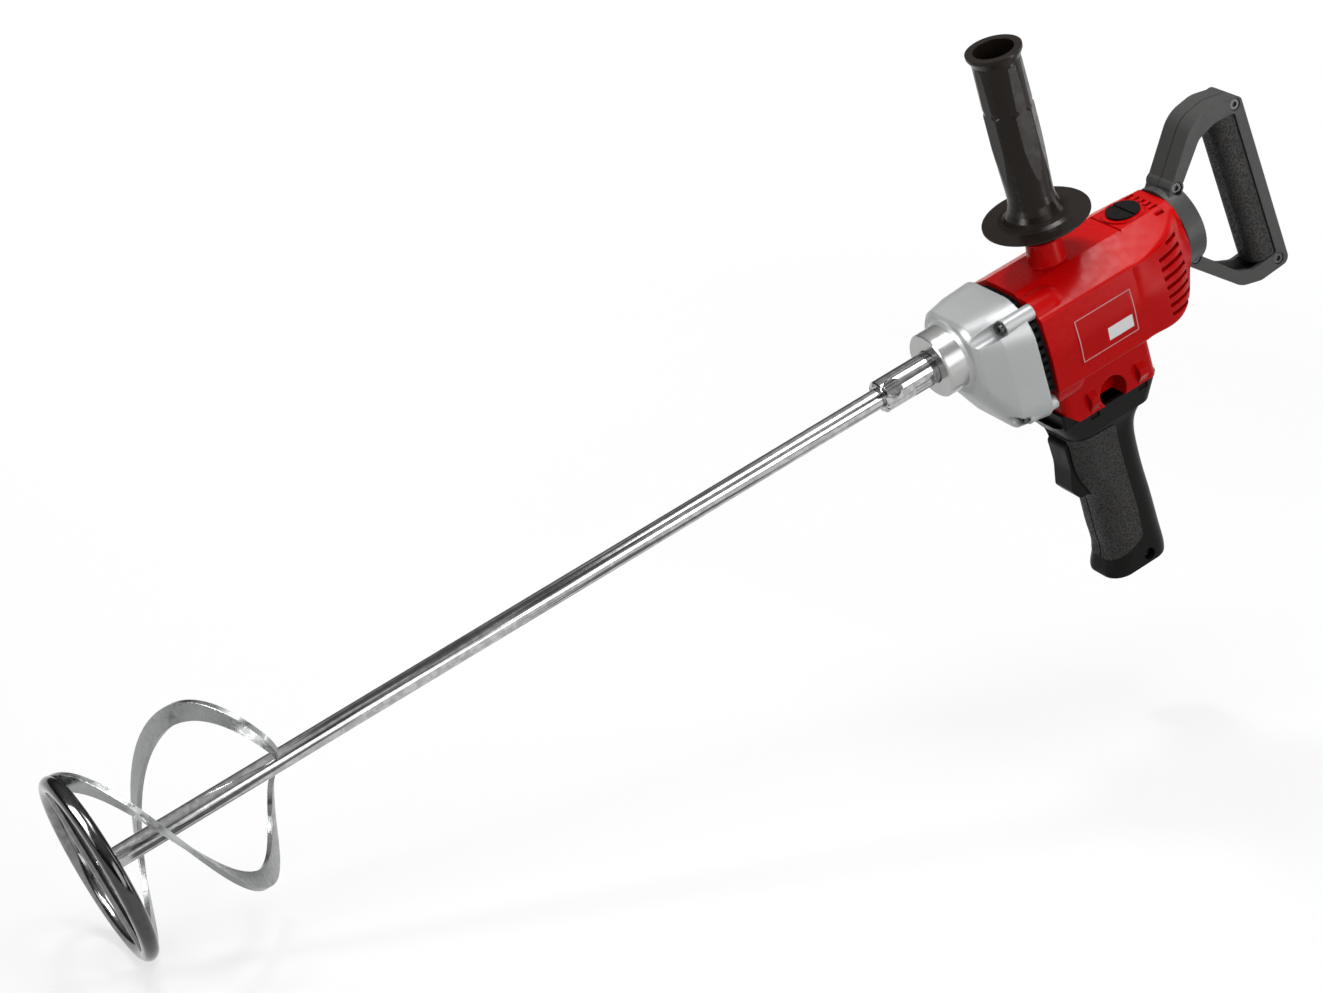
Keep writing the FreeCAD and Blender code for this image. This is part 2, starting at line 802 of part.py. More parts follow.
def bearing_plate():
    bush_boss = spindle_tail_radius + bush_wall + boss_wall / 2
    small_boss = journal_radius + bush_wall + boss_wall / 2
    pinion_hole = gear_tip(first_module, first_pinion_teeth) + pocket_room
    plate = joined(plate_discs(plate_rear_x, flange_x, 0) + [
        rod_x(spindle_bush_x, plate_x, bush_boss),
        rod_x(plate_x - boss_reach, plate_x, small_boss, intermediate_y, intermediate_z),
        rod_x(plate_rear_x, motor_x, armature_bearing_radius + boss_wall, 0, motor_z),
    ])
    cuts = [
        rod_x(spindle_bush_x - overrun, spindle_bush_rear_x, spindle_tail_radius + bush_wall + seat_gap),
        rod_x(plate_x - boss_reach - overrun, plate_x - boss_reach + intermediate_bush_length,
              journal_radius + bush_wall + seat_gap, intermediate_y, intermediate_z),
        rod_x(plate_x - overrun, motor_x, pinion_hole, 0, motor_z),
        rod_x(armature_bearing_x, motor_x + overrun, armature_bearing_radius + seat_gap, 0, motor_z),
    ]
    return plate.cut(group(cuts))


def exhaust_ring():
    """Slotted ring that closes the gap between the castings, open at the lugs."""
    x0 = flange_x + seat_gap
    x1 = motor_x - seat_gap
    outer = moved_in(housing_section(), exhaust_ring_set)
    inner = moved_in(housing_section(), exhaust_ring_set + exhaust_ring_wall)
    ring = slab_x(outer, x0, x1).cut(slab_x(inner, x0 - overrun, x1 + overrun))
    lugs = [rod_x(x0 - overrun, x1 + overrun, lug_radius + free_gap, y, z) for y, z in lug_places()]
    reach = housing_half_width + housing_top
    slots = [slot_block(x0 + exhaust_bridge, x1 - exhaust_bridge, exhaust_slot_width, 0, reach,
                        360 * (k + 1 / 2) / exhaust_slots) for k in range(exhaust_slots)]
    return ring.cut(group(lugs)).cut(group(slots))


def housing_screws():
    seat_x = motor_x - lug_length
    length = lug_length + screw_grip
    return group([socket_screw(length, facing(Vec(seat_x, y, z), -along_x)) for y, z in lug_places()])


def bush_x(x0, length, bore, y=0, z=0):
    return tube_x(x0, x0 + length, bore + bush_wall, bore + run_gap, y, z)


def spindle_seal():
    x0 = collar_front_x + seal_set
    ring = tube_x(x0, x0 + seal_width, seal_radius, spindle_radius + seal_lip)
    lip = tube_x(x0, x0 + seal_lip, seal_radius, spindle_radius + run_gap)
    return joined([ring, lip])


def circlip_x(x0, inner, outer):
    """Sprung ring with its gap at the bottom."""
    gap = block(x0 - overrun, x0 + circlip_width + overrun, -circlip_height, circlip_height,
                -outer - overrun, 0)
    return tube_x(x0, x0 + circlip_width, outer, inner).cut(gap)


# Turning pieces

def clamp_direction():
    return polar(1, math.radians(clamp_bolt_turn))


def clamp_x():
    return spindle_front_x + clamp_bolt_set


def radial(start, end, radius):
    direction = clamp_direction()
    return Part.makeCylinder(radius, end - start, Vec(clamp_x(), 0, 0) + direction * start, direction)


def spindle():
    shaft = turned_x([
        (spindle_front_x, 0), (spindle_front_x, spindle_radius - collar_chamfer),
        (spindle_front_x + collar_chamfer, spindle_radius), (front_bearing_x, spindle_radius),
        (front_bearing_x, spindle_seat_radius), (spindle_bush_x, spindle_seat_radius),
        (spindle_bush_x, spindle_tail_radius), (spindle_bush_rear_x - run_gap, spindle_tail_radius),
        (spindle_bush_rear_x - run_gap, 0),
    ])
    flat_rear_x = collar_front_x - flat_set
    flat = block(flat_rear_x - flat_length, flat_rear_x, flat_half_width, flat_half_width + spindle_radius,
                 -spindle_radius, spindle_radius)
    flats = [turned_about_spindle(flat, flat_turn), turned_about_spindle(flat, flat_turn + 180)]
    key_way = block(output_gear_x, output_gear_rear_x, -key_width / 2, key_width / 2,
                    spindle_seat_radius - key_height / 2, spindle_seat_radius + overrun)
    cuts = flats + [
        key_way,
        rod_x(spindle_front_x - overrun, spindle_front_x + rod_socket, rod_radius + seat_gap),
        radial(0, spindle_radius + overrun, clamp_bolt_radius + seat_gap),
        radial(spindle_radius - clamp_spot_depth, spindle_radius + overrun,
               clamp_head_flats * hexagon_share + seat_gap),
        tube_x(output_gear_rear_x, output_gear_rear_x + circlip_width, spindle_seat_radius + overrun,
               spindle_seat_radius - circlip_height / 2),
    ]
    return shaft.cut(group(cuts))


def output_gear():
    toward = math.atan2(intermediate_z, intermediate_y)
    wheel = gear(second_wheel_teeth, second_module, output_gear_x, output_gear_rear_x, 0, 0, toward)
    bore = rod_x(output_gear_x - overrun, output_gear_rear_x + overrun, spindle_seat_radius + seat_gap)
    key_slot = block(output_gear_x - overrun, output_gear_rear_x + overrun, -key_width / 2 - seat_gap,
                     key_width / 2 + seat_gap, 0, spindle_seat_radius + key_height / 2 + seat_gap)
    return wheel.cut(group([bore, key_slot]))


def gear_key():
    return block(output_gear_x, output_gear_rear_x, -key_width / 2, key_width / 2,
                 spindle_seat_radius - key_height / 2, spindle_seat_radius + key_height / 2)


def clamp_bolt():
    head_start = spindle_radius - clamp_spot_depth
    direction = clamp_direction()
    centre = Vec(clamp_x(), 0, 0) + direction * head_start
    reach = clamp_head_flats * hexagon_share
    sides = hexagon(centre, reach, direction.cross(along_x), along_x)
    head = Part.Face(sides).extrude(direction * clamp_head_height)
    crown = Part.makeCone(reach + clamp_head_height, reach - clamp_spot_depth, clamp_head_height,
                          centre, direction)
    shank = radial(rod_radius - clamp_dimple + seat_gap, head_start, clamp_bolt_radius)
    return joined([head.common(crown), shank])


def intermediate_shaft():
    toward = math.atan2(-intermediate_z, -intermediate_y) + math.pi / second_pinion_teeth
    pinion_x = output_gear_x - pinion_overhang
    pinion_rear_x = output_gear_rear_x + pinion_overhang
    pinion = gear(second_pinion_teeth, second_module, pinion_x, pinion_rear_x,
                  intermediate_y, intermediate_z, toward)
    front_x = gear_cavity_x - intermediate_bush_length + run_gap
    rear_x = plate_x - boss_reach + intermediate_bush_length - run_gap
    shaft = rod_x(front_x, rear_x, journal_radius, intermediate_y, intermediate_z)
    return joined([pinion, shaft])


def intermediate_gear():
    toward = math.atan2(motor_z - intermediate_z, -intermediate_y)
    wheel = gear(first_wheel_teeth, first_module, intermediate_gear_x, intermediate_gear_rear_x,
                 intermediate_y, intermediate_z, toward)
    bore = rod_x(intermediate_gear_x - overrun, intermediate_gear_rear_x + overrun,
                 journal_radius + seat_gap, intermediate_y, intermediate_z)
    return wheel.cut(bore)


def armature_shaft():
    toward = math.atan2(intermediate_z - motor_z, intermediate_y) + math.pi / first_pinion_teeth
    pinion_x = intermediate_gear_x - pinion_overhang
    pinion_rear_x = intermediate_gear_rear_x + pinion_overhang
    pinion = gear(first_pinion_teeth, first_module, pinion_x, pinion_rear_x, 0, motor_z, toward)
    root = first_module * (first_pinion_teeth / 2 - tooth_root_share)
    shaft = turned_x([
        (pinion_x, 0), (pinion_x, root), (armature_bearing_x - pinion_overhang, root),
        (armature_bearing_x - pinion_overhang, armature_journal_radius), (motor_x, armature_journal_radius),
        (motor_x, armature_shaft_radius), (rear_bearing_x, armature_shaft_radius),
        (rear_bearing_x, armature_journal_radius), (rear_bearing_rear_x, armature_journal_radius),
        (rear_bearing_rear_x, 0),
    ], motor_z)
    return joined([pinion, shaft])


def slot_block(x0, x1, width, inner, outer, degrees):
    slot = block(x0, x1, -width / 2, width / 2, motor_z + inner, motor_z + outer)
    slot.rotate(Vec(0, 0, motor_z), along_x, degrees)
    return slot


def on_armature_shaft(x0, x1, radius):
    return tube_x(x0, x1, radius, armature_shaft_radius + seat_gap, 0, motor_z)


def armature_core():
    core = on_armature_shaft(stator_x, stator_rear_x, armature_radius)
    floor = armature_radius - armature_slot_depth
    slots = [slot_block(stator_x - overrun, stator_rear_x + overrun, armature_slot_width,
                        floor, armature_radius + overrun, 360 * k / armature_slots)
             for k in range(armature_slots)]
    return core.cut(group(slots))


def armature_windings():
    x0 = stator_x - winding_reach
    x1 = stator_rear_x + winding_reach
    floor = armature_radius - armature_slot_depth + winding_gap
    bars = [slot_block(x0, x1, armature_slot_width - 2 * winding_gap, floor, winding_radius,
                       360 * k / armature_slots) for k in range(armature_slots)]
    rings = [tube_x(x0, stator_x, winding_radius, winding_inner_radius, 0, motor_z),
             tube_x(stator_rear_x, x1, winding_radius, winding_inner_radius, 0, motor_z)]
    return joined(rings + bars)


def commutator():
    drum = joined([
        on_armature_shaft(commutator_x, commutator_rear_x, commutator_radius),
        on_armature_shaft(commutator_x, commutator_x + riser_length, riser_radius),
    ])
    floor = commutator_radius - commutator_slit_depth
    slits = [slot_block(commutator_x - overrun, commutator_rear_x + overrun, commutator_slit,
                        floor, riser_radius + overrun, 360 * k / commutator_bars)
             for k in range(commutator_bars)]
    return drum.cut(group(slits))


def cooling_fan():
    disc = on_armature_shaft(fan_rear_x - fan_disc, fan_rear_x, fan_radius)
    hub = on_armature_shaft(fan_x, fan_rear_x, fan_hub_radius)
    blades = [slot_block(fan_x, fan_rear_x, fan_blade_thickness, fan_eye_radius, fan_radius,
                         360 * k / fan_blades) for k in range(fan_blades)]
    bounds = rod_x(fan_x, fan_rear_x, fan_radius, 0, motor_z)
    return joined([disc, hub] + blades).common(bounds)


# Fixed motor pieces

def stator_bore():
    return armature_radius + air_gap


def stator_core():
    yoke = tube_x(stator_x, stator_rear_x, stator_radius, stator_radius - stator_yoke, 0, motor_z)
    poles = [sector_x(stator_x, stator_rear_x, stator_bore(), stator_radius - stator_yoke + overrun,
                      start - pole_half_angle, start + pole_half_angle, motor_z) for start in (0, 180)]
    holes = [rod_x(stator_x - overrun, stator_rear_x + overrun, screw_radius + seat_gap,
                   side * stator_screw_place, motor_z) for side in (-1, 1)]
    return joined([yoke] + poles).cut(group(holes))


def field_coils():
    inner = stator_bore() + coil_gap
    outer = stator_radius - stator_yoke - seat_gap
    coils = []
    for start in (0, 180):
        whole = sector_x(stator_x - coil_reach, stator_rear_x + coil_reach, inner, outer,
                         start - coil_half_angle, start + coil_half_angle, motor_z)
        pole = sector_x(stator_x, stator_rear_x, inner - overrun, outer + overrun,
                        start - coil_side_angle, start + coil_side_angle, motor_z)
        coils.append(whole.cut(pole))
    return group(coils)


def stator_screws():
    length = stator_length + stator_boss_length - stator_boss_radius
    return group([socket_screw(length, facing(Vec(stator_x, side * stator_screw_place, motor_z), -along_x))
                  for side in (-1, 1)])


def air_baffle():
    x0 = motor_x + baffle_set
    return tube_x(x0, x0 + baffle_thickness, stator_radius, baffle_eye_radius, 0, motor_z)


def brush_top_z():
    return motor_z + commutator_radius + brush_lift + brush_length


def cap_plug_z():
    return housing_top + cap_rim_height - cap_plug_length


def holder_z():
    return cap_plug_z() - holder_length


def brush_block(grow, z0, z1):
    half_x = brush_width / 2 + grow
    half_y = brush_thickness / 2 + grow
    return block(brush_x - half_x, brush_x + half_x, -half_y, half_y, z0, z1)


def both_brushes(shape):
    return group([shape, mirrored_at_motor(shape)])


def carbon_brushes():
    return both_brushes(brush_block(0, motor_z + commutator_radius + brush_lift, brush_top_z()))


def brush_holders():
    bore = brush_block(seat_gap, holder_z() - overrun, cap_plug_z() + overrun)
    return both_brushes(brush_block(holder_wall, holder_z(), cap_plug_z()).cut(bore))


def brush_springs():
    """Coil between the brush and the cap, cut flat at both ends."""
    bottom = brush_top_z()
    top = cap_plug_z()
    coil = Part.makeHelix(spring_pitch, top - bottom, spring_radius)
    wire = Part.Wire(Part.makeCircle(spring_wire / 2, Vec(spring_radius, 0, 0), along_y))
    spring = Part.Wire(coil).makePipeShell([wire], True, True)
    spring.translate(Vec(brush_x, 0, bottom))
    ends = block(brush_x - brush_width, brush_x + brush_width, -brush_width, brush_width, bottom, top)
    return both_brushes(spring.common(ends))


def brush_caps():
    seat_z = housing_top + cap_rim_height
    plug = rod_z(cap_plug_z(), seat_z, cap_plug_radius, brush_x)
    head = rod_z(seat_z, seat_z + cap_height, cap_radius, brush_x)
    slot_z = seat_z + cap_height - cap_slot_depth
    slot = block(brush_x - cap_slot_width / 2, brush_x + cap_slot_width / 2, -cap_radius, cap_radius,
                 slot_z, slot_z + cap_slot_depth + overrun)
    return both_brushes(joined([plug, head]).cut(slot))


# Motor housing

def both_sides(right):
    """Closed outline from the corners on the tool's right and their mirror images on the left."""
    return right + [(-y, z, radius) for y, z, radius in reversed(right)]


def right_corners():
    """Corners of the motor housing's section on the tool's right, from the bottom to the top."""
    return [
        (strip_half_width, 2 * motor_z - housing_top, edge_round),
        (shoulder_half_width, 2 * motor_z - shoulder_height, edge_round),
        (housing_half_width, motor_z, side_round),
        (shoulder_half_width, shoulder_height, edge_round),
        (strip_half_width, housing_top, edge_round),
    ]


def right_rear_corners():
    """The same corners on the rear face, where the section has become round."""
    return [
        (rear_bottom_half_width, rear_bottom, rear_round),
        (rear_low_half_width, rear_low_height, rear_round),
        (rear_half_width, rear_height, side_round),
        (rear_shoulder_half_width, rear_shoulder_height, rear_round),
        (rear_top_half_width, housing_top, edge_round),
    ]


def housing_section():
    return both_sides(right_corners())


def rear_section(share):
    """Section of the rear end, between the housing's own and that of the rear face."""
    place, upper, side, lower = share
    corners = []
    for first, last, moved in zip(right_corners(), right_rear_corners(), (lower, lower, side, upper, upper)):
        corners.append(tuple(a + (b - a) * moved for a, b in zip(first, last)))
    return rounded_wire(both_sides(corners), in_section(rear_place_x(place)))


def rear_place_x(place):
    return rear_start_x + (motor_rear_x - rear_start_x) * place


def housing_body():
    straight = slab_x(housing_section(), motor_x, rear_place_x(rear_blend_shares[0][0]))
    rear = Part.makeLoft([rear_section(share) for share in rear_blend_shares], True, False)
    return joined([straight, rear])


def neck_outline(inset):
    half = neck_half_width - inset
    corner = max(neck_corner - inset, seat_gap)
    return box_corners(neck_x + inset, neck_x + neck_length - inset, -half, half, corner)


def neck_slant_cut(inset):
    """Wedge under the slanted front corner of the neck."""
    x0 = neck_x - overrun
    low = neck_bottom - overrun
    reach = neck_slant + inset + 2 * overrun
    corners = [Vec(x0, -housing_half_width, low), Vec(x0 + reach, -housing_half_width, low),
               Vec(x0, -housing_half_width, low + reach)]
    return Part.Face(Part.makePolygon(corners + corners[:1])).extrude(along_y * (2 * housing_half_width))


def neck_space():
    """Hollow of the neck, open at the bottom and joined to the motor's bore."""
    space = slab_z(neck_outline(neck_wall), neck_bottom - overrun, wire_way_top)
    return space.cut(neck_slant_cut(2 * neck_wall))


def housing_bosses():
    """Low rounded bosses over the housing screws."""
    bosses = []
    end_x = motor_x + housing_boss_length
    for y, z in lug_places():
        outward = Vec(0, y, z - motor_z).normalize()
        centre = Vec(end_x, y, z) - outward * (housing_boss_radius - housing_boss_cover)
        bosses.append(rod_x(motor_x, end_x, housing_boss_radius, centre.y, centre.z))
        bosses.append(Part.makeSphere(housing_boss_radius, centre))
    return bosses


def recess_cups(radius, depth):
    return [rod_y(neck_half_width - depth, neck_half_width, radius, recess_x, recess_z),
            rod_y(-neck_half_width, -neck_half_width + depth, radius, recess_x, recess_z)]


def catches():
    """Two small hooked catches on each side of the neck, beside the round recess."""
    top = neck_bottom + catch_top
    far = neck_half_width + catch_reach
    right = [
        (neck_half_width - neck_wall, top - catch_height), (neck_half_width, top - catch_height),
        (far, top - catch_slope - catch_nose), (far, top - catch_slope), (neck_half_width, top),
        (neck_half_width - neck_wall, top),
    ]
    pieces = []
    for x in catch_places():
        points = [Vec(x - catch_width / 2, y, z) for y, z in right]
        hook = Part.Face(Part.makePolygon(points + points[:1])).extrude(along_x * catch_width)
        pieces += [hook, mirrored_y(hook)]
    return pieces


def catch_places():
    middle = recess_x + catch_set
    return middle - catch_spread, middle + catch_spread


def motor_housing():
    cap_ring = rod_z(housing_top - cap_rim_root, housing_top + cap_rim_height, cap_radius + cap_rim, brush_x)
    handle_boss = Part.makeCone(boss_foot_radius, boss_top_radius, boss_height,
                                Vec(side_handle_x, 0, housing_top), along_z)
    neck_block = slab_z(neck_outline(0), neck_bottom, neck_root)
    neck = neck_block.cut(neck_slant_cut(0))
    outside = joined([housing_body(), neck, handle_boss, cap_ring, mirrored_at_motor(cap_ring)]
                     + housing_bosses() + catches())
    bore = stator_radius + stator_fit
    hollow = joined([
        rod_x(motor_x - overrun, stator_rear_x, bore, 0, motor_z),
        rod_x(motor_x, motor_rear_x - rear_cavity_set, rear_cavity_radius, 0, motor_z),
        rod_x(motor_x, rear_wall_x, rear_throat_radius, 0, motor_z),
        neck_space(),
    ])
    cup_space = neck_block.cut(rod_x(motor_x - overrun, motor_rear_x, bore, 0, motor_z))
    cups = [cup.common(cup_space)
            for cup in recess_cups(recess_radius + recess_wall, recess_depth + recess_wall)]
    brush_boss = rod_z(motor_z + commutator_radius + brush_boss_set, housing_top, brush_boss_radius, brush_x)
    stator_bosses = [rod_x(stator_rear_x, stator_rear_x + stator_boss_length, stator_boss_radius,
                           side * stator_screw_place, motor_z) for side in (-1, 1)]
    ring = tube_x(motor_x, motor_rear_x, housing_half_width - edge_round, rear_cavity_radius - overrun,
                  0, motor_z)
    bearing_boss = rod_x(rear_wall_x - rear_boss_reach, rear_wall_x,
                         armature_bearing_radius + rear_boss_wall, 0, motor_z)
    inside = cups + [brush_boss, mirrored_at_motor(brush_boss), bearing_boss]
    inside += [boss.common(ring) for boss in stator_bosses]
    spigot = [rod_x(motor_rear_x, motor_rear_x + spigot_length, spigot_radius, 0, spigot_z),
              rod_x(motor_rear_x + spigot_length, motor_rear_x + spigot_length + spigot_rim_length,
                    spigot_rim_radius, 0, spigot_z)]
    body = joined([outside.cut(hollow)] + inside + spigot)
    return body.cut(group(housing_cuts()))


def housing_cuts():
    """Screw holes, seats, vents and openings of the motor housing."""
    cuts = recess_cups(recess_radius, recess_depth)
    for y, z in lug_places():
        cuts.append(rod_x(motor_x - overrun, motor_x + screw_grip, screw_radius + seat_gap, y, z))
    for side in (-1, 1):
        cuts.append(rod_x(stator_rear_x - overrun, stator_rear_x + stator_boss_length - stator_boss_radius,
                          screw_radius + seat_gap, side * stator_screw_place, motor_z))
    cuts.append(rod_x(rear_wall_x - rear_boss_reach - overrun, rear_bearing_rear_x,
                      armature_bearing_radius + seat_gap, 0, motor_z))
    plug_hole = rod_z(cap_plug_z(), housing_top + cap_rim_height + overrun, cap_plug_radius + seat_gap,
                      brush_x)
    holder_hole = brush_block(holder_wall + seat_gap, motor_z + commutator_radius, cap_plug_z() + overrun)
    for hole in (plug_hole, holder_hole):
        cuts += [hole, mirrored_at_motor(hole)]
    cuts.append(rod_z(housing_top, boss_top_z + overrun, insert_radius + seat_gap, side_handle_x))
    seam_half = strip_half_width + edge_round
    cuts.append(block(rear_start_x, rear_start_x + seam_width, -seam_half, seam_half,
                      housing_top - seam_depth, housing_top + overrun))
    return cuts + side_vents() + top_vents()


def side_vents():
    """Rows of slots on both sides, the first and last one shorter."""
    x1 = motor_rear_x - vent_rear_set
    vents = []
    for index in range(vent_count):
        z = vent_top - index * vent_pitch
        length = vent_length * (vent_short_share if index in (0, vent_count - 1) else 1)
        vent = block(x1 - length, x1, vent_depth, housing_half_width + overrun,
                     z - vent_width / 2, z + vent_width / 2)
        vents += [vent, mirrored_y(vent)]
    return vents


def top_vents():
    x1 = motor_rear_x - top_vent_rear_set
    vents = []
    for index in range(top_vent_count):
        y = (index - (top_vent_count - 1) / 2) * top_vent_pitch
        vents.append(block(x1 - top_vent_length, x1, y - top_vent_width / 2, y + top_vent_width / 2,
                           housing_top - top_vent_depth, housing_top + overrun))
    return vents


# Side handle

def side_handle_insert():
    sleeve = rod_z(housing_top, boss_top_z, insert_radius, side_handle_x)
    bore = rod_z(housing_top - overrun, boss_top_z + overrun, stud_radius + seat_gap, side_handle_x)
    return sleeve.cut(bore)


def side_handle_stud():
    return rod_z(housing_top, boss_top_z + handle_floor - boss_wall, stud_radius, side_handle_x)


def side_handle_grip():
    disc_z = boss_top_z + handle_neck_length
    outline = [
        (0, boss_top_z), (handle_neck_radius, boss_top_z), (handle_neck_radius, disc_z),
        (handle_disc_radius - handle_disc_rim, disc_z), (handle_disc_radius, disc_z + handle_disc_rim / 2),
        (handle_disc_radius, disc_z + handle_disc_rim),
    ]
    outline += [(handle_radius * radius, boss_top_z + handle_length * height)
                for radius, height in handle_outline_shares]
    outline += [
        (handle_rim_radius, handle_top_z - handle_disc_rim), (handle_rim_radius, handle_top_z),
        (handle_bore_radius, handle_top_z), (handle_bore_radius, boss_top_z + handle_floor),
        (0, boss_top_z + handle_floor),
    ]
    hole = rod_z(boss_top_z - overrun, boss_top_z + handle_floor - boss_wall, stud_radius + seat_gap,
                 side_handle_x)
    return turned_z(outline, side_handle_x).cut(group([hole] + handle_flat_cuts()))


def handle_flat_cuts():
    """Blocks that give the grip its soft facets."""
    near = side_handle_x + handle_radius * handle_flat_share
    flats = []
    for k in range(handle_flats):
        flat = block(near, near + handle_radius, -handle_radius, handle_radius,
                     boss_top_z + handle_length * handle_flat_bottom_share,
                     boss_top_z + handle_length * handle_flat_top_share)
        flat.rotate(Vec(side_handle_x, 0, 0), along_z, 360 * k / handle_flats)
        flats.append(flat)
    return flats


# Pistol grip

def grip_loft(inset):
    """The grip's body, with its surface moved inwards."""
    wires = []
    for drop, front, rear, half in grip_section_shares:
        z = neck_bottom - grip_length * drop
        if drop == grip_section_shares[-1][0]:
            z += inset
        wide = grip_half_width * half - inset
        corners = box_corners(grip_front + grip_depth * front + inset,
                              grip_front + grip_depth * rear - inset, -wide, wide, grip_corner - inset)
        wires.append(rounded_wire(corners, in_plan(z)))
    return Part.makeLoft(wires, True, False)


def rim_loft(inset):
    """Wide rim that the neck stands on."""
    wires = []
    for level, (front, rear, half) in enumerate(zip(rim_front_shares, rim_rear_shares, rim_half_shares)):
        wide = rim_half_width * half - inset
        corners = box_corners(grip_front + grip_depth * front + inset,
                              grip_front + grip_depth * rear - inset, -wide, wide, rim_corner - inset)
        wires.append(rounded_wire(corners, in_plan(neck_bottom - rim_height * level)))
    return Part.makeLoft(wires, True, True)


def rim_chin():
    """Front of the rim, which follows the slanted corner of the neck."""
    half = neck_half_width - neck_wall / 2
    rear_x = neck_x + neck_slant + neck_corner
    corners = box_corners(neck_x - neck_wall, rear_x, -half, half, neck_corner / 2)
    chin = slab_z(corners, neck_bottom - neck_wall, neck_bottom + neck_slant)
    return chin.common(neck_slant_cut(0))


def tongue():
    """Low wall inside the neck that centres the grip."""
    outer = slab_z(neck_outline(neck_wall + seat_gap), neck_bottom - neck_wall, neck_bottom + tongue_height)
    inner = slab_z(neck_outline(neck_wall + tongue_wall), neck_bottom - neck_wall - overrun,
                   neck_bottom + tongue_height + overrun)
    cup_room = recess_radius + recess_wall + free_gap
    cups = rod_y(-neck_half_width, neck_half_width, cup_room, recess_x, recess_z)
    return outer.cut(inner).cut(group([cups, neck_slant_cut(3 * neck_wall)]))


def grip_shell():
    outside = joined([grip_loft(0), rim_loft(0), rim_chin()])
    inside = joined([grip_loft(grip_wall), rim_loft(grip_wall)])
    shell = outside.cut(inside)
    switch_bottom_z = switch_top_z - switch_height
    ribs = [block(x, x + switch_rib, -grip_half_width, grip_half_width, switch_bottom_z, switch_top_z)
            for x in (switch_x + switch_rib / 2, switch_x + switch_length - 3 * switch_rib / 2)]
    boss = rod_y(-grip_half_width, grip_half_width, grip_screw_boss, grip_screw_x,
                 neck_bottom - grip_screw_drop)
    seats = [piece.common(outside) for piece in ribs + [boss]]
    room = switch_half_width + seat_gap
    switch_space = block(switch_x - switch_rib, switch_x + switch_length + switch_rib, -room, room,
                         switch_bottom_z, switch_top_z)
    return joined([shell, tongue()] + [seat.cut(switch_space) for seat in seats])


def trigger_way(half_width):
    """Slot that the trigger slides in."""
    return block(0, switch_x, -half_width, half_width, trigger_top_z - trigger_height - 3 * free_gap,
                 trigger_top_z + 3 * free_gap)


def trigger_lip_block(grow, x1):
    """Side lips behind the front wall of the grip, or the room that they slide in."""
    half = trigger_half_width + trigger_lip + grow
    top = trigger_top_z - trigger_lip_drop + grow
    bottom = top - trigger_lip_height - 2 * grow
    return block(trigger_rear_x - trigger_lip_depth - grow, x1, -half, half, bottom, top)


def pad_region():
    corners = [(grip_front + grip_depth * place, neck_bottom - grip_length * drop, pad_corner)
               for place, drop in pad_outline_shares]
    return slab_y(corners, -rim_half_width, -pad_inner_y)


def pad_body():
    skin = grip_loft(-pad_proud).cut(grip_loft(pad_depth))
    slot = trigger_way(trigger_half_width + pad_depth)
    lip_room = trigger_lip_block(2 * free_gap, switch_x)
    rim = rim_loft(-free_gap)
    return skin.common(pad_region()).cut(slot).cut(lip_room).cut(rim)


def grip_cuts():
    screw_z = neck_bottom - grip_screw_drop
    gland_z = neck_bottom - grip_length
    return [
        trigger_way(trigger_half_width + free_gap),
        trigger_lip_block(free_gap, switch_x),
        rod_y(-rim_half_width, -grip_half_width + grip_hole_depth, grip_hole_radius, grip_screw_x, screw_z),
        rod_y(-grip_half_width, grip_half_width - grip_wall, screw_radius + seat_gap, grip_screw_x, screw_z),
        rod_z(gland_z - overrun, gland_z + gland_length, gland_radius + seat_gap, gland_x),
    ] + rim_notches()


def rim_notches():
    """Room for the catches in the rim's sides."""
    half = catch_width / 2 + free_gap
    notches = []
    for x in catch_places():
        notch = block(x - half, x + half, rim_half_width - rim_notch_depth, rim_half_width + overrun,
                      neck_bottom - rim_notch_height, neck_bottom + overrun)
        notches += [notch, mirrored_y(notch)]
    return notches


def grip_halves(pad):
    shell = grip_shell().cut(group(grip_cuts())).cut(group([pad, mirrored_y(pad)]))
    far = rim_half_width + overrun
    reach = grip_depth * 2
    left_side = block(grip_front - reach, grip_front + reach, -far, 0,
                      neck_bottom - grip_length - overrun, neck_root)
    return shell.common(left_side), shell.common(mirrored_y(left_side))


def grip_screw():
    seat = -grip_half_width + grip_hole_depth
    length = grip_half_width - grip_wall - seat - overrun
    place = Vec(grip_screw_x, seat, neck_bottom - grip_screw_drop)
    return socket_screw(length, facing(place, -along_y))


def cord_gland():
    z0 = neck_bottom - grip_length
    z1 = z0 + gland_length
    flange_z = z0 + grip_wall + seat_gap
    body = joined([rod_z(z0, z1, gland_radius, gland_x),
                   rod_z(flange_z, flange_z + gland_flange, gland_flange_radius, gland_x)])
    return body.cut(rod_z(z0 - overrun, z1 + overrun, gland_bore_radius, gland_x))


# Trigger and switch

def trigger():
    corners = [(trigger_front + trigger_depth * place, trigger_top_z - trigger_height * drop,
                trigger_depth * rounding) for place, drop, rounding in trigger_outline_shares]
    body = slab_y(corners, -trigger_half_width, trigger_half_width)
    return joined([body, trigger_lip_block(0, trigger_rear_x)])


def plunger_z():
    return switch_top_z - switch_height / 2


def switch_plunger():
    return rod_x(trigger_rear_x, trigger_rear_x + plunger_length, plunger_radius, 0, plunger_z())


def trigger_switch():
    corners = box_corners(switch_x, switch_x + switch_length, switch_top_z - switch_height, switch_top_z,
                          edge_round)
    body = slab_y(corners, -switch_half_width, switch_half_width)
    way = rod_x(switch_x - overrun, trigger_rear_x + plunger_length + trigger_travel + free_gap,
                plunger_radius + run_gap, 0, plunger_z())
    return body.cut(way)


